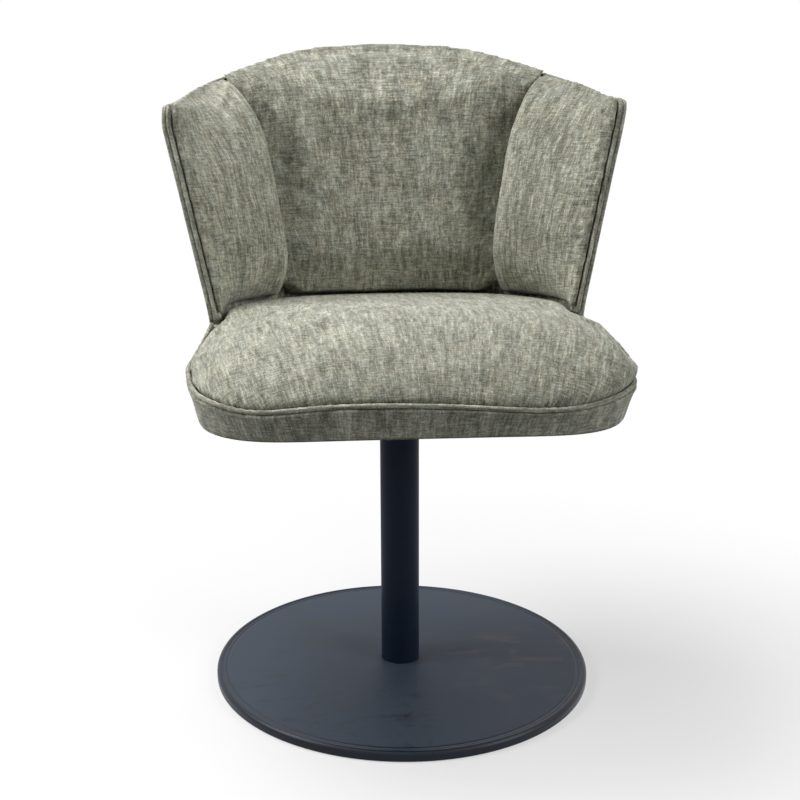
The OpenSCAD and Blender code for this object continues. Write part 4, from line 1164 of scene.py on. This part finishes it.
def shapePad(piece, look, cap):
    # Remeshed, drawn in a little where it is free, swelled and refined; what lies behind the seam stays put
    voxels(piece, look["voxel"])
    relax(piece.data, look["relax"])
    points, normals = coordinates(piece.data), vertexNormals(piece.data)
    angle, depth = backPlace(points)
    held = ease((backForm["cushionAt"] + look["heldAt"] - depth) / look["heldReach"])
    setCoordinates(piece.data, keepOut(points - normals * (look["slack"] * (1 - held))[:, None]))
    swell(piece, held > look["held"], cap(points) * (1 - held))
    relax(piece.data, look["relaxAgain"], held)
    finer(piece)


def shareOfHeight(points, angle, depth):  # from the seat to the top edge, not held within 0 and 1
    low = standHeight(angle, depth)
    return (points[:, 2] - low) / (backTop(angle) - low)


wingLook = padLook | {
    "voxel": 0.0044, "columns": 50, "rows": 60, "thin": 0.009, "swelling": 0.051, "swellingPower": 0.8,
    "noseFrom": 0.84, "noseReach": 0.16, "noseDrop": 0.75, "endDrop": 0.6, "endPower": 6, "over": 0.003,
    "rimAt": 0.0170, "rimRadius": 0.0052, "rimAhead": 0.0013, "rimOver": 0.0025, "rimLow": 0.010,
    "rimShort": 0.012, "rimPoints": 150, "rimBow": 0.0045, "bowReach": 0.04, "bowPower": 0.8,
    "rimDrop": 0.0015, "dropFrom": 0.03, "dropReach": 0.015, "capEdge": 0.2, "capReach": 0.02,
    "capFoot": 0.25, "capAbove": (0.49, 0.03), "cornerRise": 0.004, "fan": 0.0022, "fanAt": (0.017, 0.011),
    "fanFolds": 10, "gather": 0.0006, "gatherPitch": 0.012, "gatherReach": 0.009, "gatherBelow": 0.02,
    "filling": (0.0010, 0.10, 1.9), "folds": (0.00035, 0.03, 0.0), "frontFrom": 0.003, "frontReach": 0.006,
    "noseGap": 0.003, "overhang": 0.035, "overhangFrom": (0.048, 0.012), "girth": 0.215, "noseRun": 0.045,
    "noseTurn": 0.9, "slant": 0.45, "slantMost": 0.03, "topDepth": 0.035,
}


def wingCushion(name, node, side, look):
    # Thin at the front edge, swelling to a full nose beside the back cushion; the front and the rear face
    # are grids of the share across from the front edge and the share of the height
    f = backForm
    across, share = np.linspace(0, 1, look["columns"]), np.linspace(0, 1, look["rows"])
    across, share = np.meshgrid(across, share, indexing="ij")
    turn = side * (np.pi / 2 + (wingInner(share) - np.pi / 2) * across)
    nose = np.sqrt(1 - look["noseDrop"] * (np.maximum(across - look["noseFrom"], 0) / look["noseReach"]) ** 2)
    thick = look["thin"] + look["swelling"] * np.sin(across * np.pi / 2) ** look["swellingPower"] * nose
    thick *= 1 - look["endDrop"] * np.abs(2 * share - 1) ** look["endPower"]
    face, rear = (padAt(turn, share, f["cushionAt"] + depth, look["over"]) for depth in (thick, 0 * thick))
    until = wingInner(1.0) - look["rimShort"]
    path = edgePath(look["rimAt"], look["rimAhead"], look["rimOver"], f["foot"] + look["rimLow"], until)
    path = evenly(path, look["rimPoints"]) * (side, 1, 1)
    bow = np.clip((path[:, 2] - f["corner"]) / look["bowReach"], 0, 1)
    path[:, 2] += look["rimBow"] * np.sin(np.pi * bow) ** look["bowPower"]
    path[:, 2] -= look["rimDrop"] * past(path[:, 2], f["corner"] + look["dropFrom"], look["dropReach"])
    piece = joined(name, [slabForm(face, rear), rimForm(path, look)], "seat", "chenille")

    def cap(points):
        ahead = look["capEdge"] + (1 - look["capEdge"]) * ease(behindEdge(points) / look["capReach"])
        above = look["capFoot"] + (1 - look["capFoot"]) * past(points[:, 2], *look["capAbove"])
        return look["cap"] * ahead * above

    shapePad(piece, look, cap)
    points, normals = coordinates(piece.data), vertexNormals(piece.data)
    angle, depth = backPlace(points)
    behind = behindEdge(points)
    # Gathers fan out of the top front corner, and small ones run down the seam at the front edge
    rise = f["corner"] + look["cornerRise"] - points[:, 2]
    apart, fan = np.hypot(rise, behind), np.arctan2(rise, behind + look["cornerRise"])
    folds = np.maximum(np.sin(fan * look["fanFolds"] + 0.8 * side), 0) ** 1.5
    move = -look["fan"] * bell(apart, *look["fanAt"]) * folds
    seam = np.exp(-np.maximum(behind, 0) / look["gatherReach"]) * ease(rise / look["gatherBelow"])
    move += look["gather"] * seam * wavy(points[:, 2], look["gatherPitch"], 1.5, 80)
    for height, size, seed in (look["filling"], look["folds"]):
        move += height * lumps(points, size, seed + side)
    front = past(depth, f["cushionAt"] + look["frontFrom"], look["frontReach"])
    points = points + normals * (move * front)[:, None]
    # The nose stays on its side of the back cushion, and may overhang it only in front of that cushion's face
    angle, depth = backPlace(points)
    inner = wingInner(np.clip(shareOfHeight(points, angle, depth), 0, 1))
    least = inner - look["noseGap"] - look["overhang"] * past(depth, *look["overhangFrom"])
    short = np.abs(angle) < least
    points[short] = backAt(side * least[short], points[short, 2], depth[short])
    keepUp(points)
    points = keepOut(points)
    # Along the cloth: the distance from the front edge, and round the nose from its own middle
    angle, depth = backPlace(points)
    run = (np.pi / 2 - np.abs(angle)) * look["girth"] - np.maximum(-behindEdge(points), 0)
    thick = depth - f["cushionAt"]
    start = (np.pi / 2 - inner) * look["girth"] - look["noseRun"]
    beyond = run - start
    turned, radius = np.pi / 2 - np.arctan2(np.maximum(thick, 0), beyond), np.hypot(beyond, thick)
    along = np.where(beyond < 0, run, start + turned * radius * look["noseTurn"])
    along = along + look["slant"] * np.minimum(thick, look["slantMost"])
    top = ease((points[:, 2] - backTop(angle) + look["topReach"]) / look["topReach"])
    setCoordinates(piece.data, softCorner(points))
    height = points[:, 2] + look["topTurn"] * (look["topDepth"] - thick) * top
    storeCloth(piece, side * along, height, 1.7 + 0.3 * side)
    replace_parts(piece, node)


wingCushion("wingCushionLeft", "wing_cushion_left", -1, wingLook)
wingCushion("wingCushionRight", "wing_cushion_right", 1, wingLook)

backLook = padLook | {
    "voxel": 0.0048, "columns": 70, "rows": 70, "thick": 0.056, "sideLess": 0.66, "sidePower": 4.5,
    "topLess": 0.6, "footLess": 0.3, "endPower": 6, "cornerLift": 0.017, "liftFrom": 0.78,
    "liftReach": 0.22, "over": 0.006, "rimAt": 0.0182, "rimRadius": 0.0058, "rimOver": 0.0066,
    "rimShort": 0.010, "rimPoints": 120, "capSide": 0.15, "capIn": 2.0, "capReach": 0.1,
    "capAbove": (0.50, 0.04), "frontFrom": 0.01, "frontReach": 0.012, "crease": 0.0016,
    "creaseAt": (-0.10, 0.05), "foot": 0.48, "height": 0.31, "filling": (0.0014, 0.13, 5.2),
    "folds": (0.0004, 0.035, 2.9), "sideGap": 0.003, "girth": 0.19, "stretch": 1.02, "topDepth": 0.04,
}


def backCushion(look):
    # A tall pad between the wings, fullest in the middle, thinner at sides and top, its lower corners rounded
    f = backForm
    across, share = np.linspace(-1, 1, look["columns"]), np.linspace(0, 1, look["rows"])
    across, share = np.meshgrid(across, share, indexing="ij")
    turn = across * (wingInner(share) - padGap(share))
    thick = look["thick"] * (1 - look["sideLess"] * np.abs(across) ** look["sidePower"])
    thick = thick * (1 - look["topLess"] * np.maximum(2 * share - 1, 0) ** look["endPower"])
    thick *= 1 - look["footLess"] * np.maximum(1 - 2 * share, 0) ** look["endPower"]
    face, rear = (padAt(turn, share, f["cushionAt"] + depth, look["over"]) for depth in (thick, 0 * thick))
    lift = look["cornerLift"] * past(np.abs(across), look["liftFrom"], look["liftReach"]) * (1 - share) ** 4
    face[..., 2] += lift
    rear[..., 2] += lift
    reach = wingInner(1.0) - look["rimShort"]
    over = np.linspace(reach, -reach, look["rimPoints"])
    rim = rimForm(backAt(over, backTop(over) + look["rimOver"], look["rimAt"]), look)
    piece = joined("backCushion", [slabForm(face, rear), rim], "seat", "chenille")

    def cap(points):
        angle, depth = backPlace(points)
        least, free = look["capSide"], 1 - look["capSide"]
        beside = ease((wingInner(0.5) - math.radians(look["capIn"]) - np.abs(angle)) / look["capReach"])
        return look["cap"] * (least + free * beside) * (least + free * past(points[:, 2], *look["capAbove"]))

    shapePad(piece, look, cap)
    points, normals = coordinates(piece.data), vertexNormals(piece.data)
    angle, depth = backPlace(points)
    # Soft creases where the pad tucks in beside the wings
    beside = np.abs(angle) - wingInner(np.clip((points[:, 2] - look["foot"]) / look["height"], 0, 1))
    waves = 0.5 + 0.5 * np.sin(points[:, 2] * 95 + 2.5 * np.sin(points[:, 2] * 31) + 2 * np.sign(angle))
    move = -look["crease"] * bell(beside, *look["creaseAt"]) * waves
    move += uneven(points, look["filling"]) + uneven(points, look["folds"])
    front = past(depth, f["cushionAt"] + look["frontFrom"], look["frontReach"])
    points = points + normals * (move * front)[:, None]
    # It stays on its side of the wings
    angle, depth = backPlace(points)
    share = np.clip(shareOfHeight(points, angle, depth), 0, 1)
    most = wingInner(share) - padGap(share) + look["sideGap"]
    wide = np.abs(angle) > most
    points[wide] = backAt(np.sign(angle[wide]) * most[wide], points[wide, 2], depth[wide])
    keepUp(points)
    points = keepOut(points)
    angle, depth = backPlace(points)
    top = ease((points[:, 2] - backTop(angle) + look["topReach"]) / look["topReach"])
    setCoordinates(piece.data, softCorner(points))
    over = look["topTurn"] * (look["topDepth"] - depth + f["cushionAt"]) * top
    storeCloth(piece, angle * look["girth"], points[:, 2] * look["stretch"] + over, 2.6)
    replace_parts(piece, "back_cushion")


backCushion(backLook)

backPipingLook = {"ahead": 0.0033, "over": 0.0033, "footClear": 0.0012, "points": 760}


def backPiping(look):
    # The cord up the wing's front edge, round its corner, over the back and down the other side
    f = backForm
    right = edgePath(f["pipingAt"], look["ahead"], look["over"], f["foot"] + look["footClear"])
    path = evenly(np.concatenate([right, (right * (-1, 1, 1))[-2::-1]]), look["points"])
    outs = path - np.stack([0 * path[:, 0], backReach(path[:, 2], 0)[2], path[:, 2]], 1)
    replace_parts(cordPiece("backPiping", softCorner(path), outs, 3.3), "back_piping")


backPiping(backPipingLook)
print("back made")

# Underside: seat board, dust cloth and its staples

boardLook = {
    "inset": 0.0153, "bottom": 0.3691, "top": 0.3839, "rounding": 0.0012, "middle": (0, -0.03),
    "halfSize": 0.2, "innerShares": (0.3, 0.9), "wingsAt": -0.012, "frontSteps": 160, "rearSteps": 120,
    "rearHeight": 0.369,
}
clothLook = {
    "top": 0.36895, "bottom": 0.36835, "inset": 0.0156, "rows": 26, "middleShare": 0.02, "heldFrom": 0.97,
    "sag": 0.00015, "slackSize": 0.06,
}
stapleLook = {
    "inset": 0.0156, "pitch": 0.034, "inward": 0.006, "ahead": 0.002,
    "halfLength": 0.0055, "halfWidth": 0.0006, "bottom": 0.36803, "thick": 0.0004,
}


def boardOutline(inset, look=boardLook):
    # The seat's outline as far as the wings, and then the inside of the back
    end = sideTurn(look["wingsAt"])
    turn = np.linspace(np.pi - end, 2 * np.pi + end, look["frontSteps"])
    x, y = seatAt(turn, 1.0, inset)
    steps = look["rearSteps"]
    turn = np.linspace(np.pi / 2, -np.pi / 2, steps)
    rear = backAt(turn, np.full(steps, look["rearHeight"]), backForm["liningAt"])
    return np.concatenate([np.stack([sideways(x, y), y], 1), rear[:, :2]])


def seatBoard(look):
    # The plywood board under the cushion, its two edges a little rounded
    edge = boardOutline(look["inset"])
    middle, r = np.array(look["middle"]), look["rounding"]
    shares = (*look["innerShares"], 1 - r / look["halfSize"])
    plan = [(share, look["bottom"]) for share in shares] + [(1, look["bottom"] + r), (1, look["top"] - r)]
    plan += [(share, look["top"]) for share in shares[::-1]]
    rings = []
    for share, height in plan:
        flat = middle + (edge - middle) * share
        rings.append(np.concatenate([flat, np.full((len(flat), 1), height)], 1))
    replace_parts(ringsPiece("seatBoard", np.stack(rings), "seat", "plywood"), "seat_board")


seatBoard(boardLook)


def dustCloth(look):
    # A sheet from its middle to the board's outline, a little slack between the staples
    edge = boardOutline(look["inset"])
    share = np.linspace(look["middleShare"], 1, look["rows"])[::-1]
    flat = share[:, None, None] * edge[None] + (1 - share[:, None, None]) * np.array(boardLook["middle"])
    level = np.concatenate([flat.reshape(-1, 2), np.zeros((flat[..., 0].size, 1))], 1)
    slack = lumps(level, look["slackSize"], 0.3).reshape(flat.shape[:2])
    sag = look["sag"] * (1 + slack) * (share[:, None] < look["heldFrom"])
    top = np.concatenate([flat, np.full((*flat.shape[:2], 1), look["top"])], -1)
    bottom = np.concatenate([flat, (look["bottom"] - sag)[..., None]], -1)
    piece = ringsPiece("dustCloth", np.concatenate([top[::-1], bottom]), "seat", "dust_cloth")
    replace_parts(piece, "dust_cover")


dustCloth(clothLook)


def staples(look):
    # Flat wire staples in a row along the edge of the dust cloth, each a box
    edge = boardOutline(look["inset"])
    closed = np.concatenate([edge, edge[:1]])
    run = distances(closed)
    count = int(run[-1] / look["pitch"])
    at = np.linspace(0, run[-1], count, endpoint=False)
    middle = np.stack([np.interp(at, run, closed[:, k]) for k in range(2)], 1)
    ahead = np.stack([np.interp(at + look["ahead"], run, closed[:, k]) for k in range(2)], 1) - middle
    ahead /= np.linalg.norm(ahead, axis=1, keepdims=True)
    inward = np.stack([-ahead[:, 1], ahead[:, 0]], 1)
    middle = middle + inward * look["inward"]
    square = [(-1, -1), (1, -1), (1, 1), (-1, 1)]
    corner = np.array([(*side, level) for level in (0, 1) for side in square], float)
    flat = middle[:, None] + corner[None, :, :1] * look["halfLength"] * ahead[:, None]
    flat = flat + corner[None, :, 1:2] * look["halfWidth"] * inward[:, None]
    height = np.broadcast_to(look["bottom"] + corner[:, 2] * look["thick"], (count, len(corner)))
    cell = np.array([[0, 3, 2, 1], [4, 5, 6, 7], [0, 1, 5, 4], [1, 2, 6, 5], [2, 3, 7, 6], [3, 0, 4, 7]])
    faces = (cell[None] + len(corner) * np.arange(count)[:, None, None]).reshape(-1, 4).tolist()
    points = np.concatenate([flat, height[..., None]], -1)
    piece = newPiece("dustClothStaples", points, faces, "seat", "zinc_steel")
    piece.data.polygons.foreach_set("use_smooth", np.zeros(len(piece.data.polygons), bool))


staples(stapleLook)
print("underside made")

# Floor and light

# Beyond whiteFrom the floor turns white for the camera; whiteNear is how white it is before that
studio = {
    "floorHalf": 6.0, "world": 0.04, "grey": 0.32, "lit": 0.82, "bare": 0.85, "roughness": 0.9,
    "middle": (0, 0.1, 0), "whiteFrom": 0.32, "whiteTo": 1.0, "whiteNear": 0.5, "mirrored": 0.8,
}


def makeStage(look):
    half = look["floorHalf"]
    mesh = bpy.data.meshes.new("studioFloor")
    corners = [(-half, -half, 0), (half, -half, 0), (half, half, 0), (-half, half, 0)]
    mesh.from_pydata(corners, [], [(0, 1, 2, 3)])
    floor = bpy.data.objects.new("studioFloor", mesh)
    bpy.context.scene.collection.objects.link(floor)
    f = Finish("studioFloor", (look["bare"],) * 3, look["roughness"], specular=0.0)
    away = f.fromAxis(f.place(), look["middle"])
    seen = f.node("ShaderNodeLightPath", output="Is Camera Ray")
    mirrored = f.node("ShaderNodeLightPath", output="Is Glossy Ray")
    f.set("Base Color", f.mix(seen, (look["grey"],) * 3, (look["lit"],) * 3))
    white = f.node("ShaderNodeEmission", {}, {"Color": (1, 1, 1, 1), "Strength": 1.0}, output=0)
    near = look["whiteNear"]
    toCamera = seen * (near + (1 - near) * away.step(look["whiteFrom"], look["whiteTo"]))
    share = (toCamera + mirrored * look["mirrored"]).held()
    mixed = f.node("ShaderNodeMixShader", {}, {0: share, 1: Wire(f, f.shader.outputs[0]), 2: white})
    f.fill(f.made["Material Output"].inputs["Surface"], mixed)
    mesh.materials.append(f.material)

    # The world is dim for the chair and white where the camera or a reflection looks straight at it
    world = bpy.data.worlds.new("studioWorld")
    bpy.context.scene.world = world
    sky = Tree(world)
    rays = ("Is Camera Ray", "Is Glossy Ray")
    direct, glossy = (sky.node("ShaderNodeLightPath", output=ray) for ray in rays)
    sky.fill(sky.made["Background"].inputs["Color"], (1, 1, 1, 1))
    strength = look["world"] + direct.most(glossy) * (1 - look["world"])
    sky.fill(sky.made["Background"].inputs["Strength"], strength)


makeStage(studio)

# Each lamp: its place, the point it faces, the side of its square and its power in watts
lamps = {
    "rearSoftbox": ((-0.9, 0.5, 2.4), (0, 0, 0.4), 1.2, 39),
    "overheadSoftbox": ((-0.4, -0.1, 2.6), (0, 0, 0.4), 1.2, 14),
    "rightOverhead": ((1.3, -0.2, 2.2), (0, 0, 0.4), 1.2, 7),
    "leftSoftbox": ((-1.9, -0.2, 1.5), (0, 0, 0.5), 1.0, 28),
    "rightSoftbox": ((2.0, -1.2, 1.4), (0, 0, 0.5), 1.2, 26),
}


def makeLamps(plan):
    for name, (place, aim, side, power) in plan.items():
        lamp = bpy.data.lights.new(name, "AREA")
        lamp.shape, lamp.size, lamp.energy = "SQUARE", side, power
        made = bpy.data.objects.new(name, lamp)
        bpy.context.scene.collection.objects.link(made)
        made.location = place
        made.rotation_mode = "QUATERNION"
        made.rotation_quaternion = (Vector(aim) - Vector(place)).to_track_quat("-Z", "Y")


makeLamps(lamps)
bpy.context.scene.view_settings.view_transform = "Standard"
print("stage and lamps made")
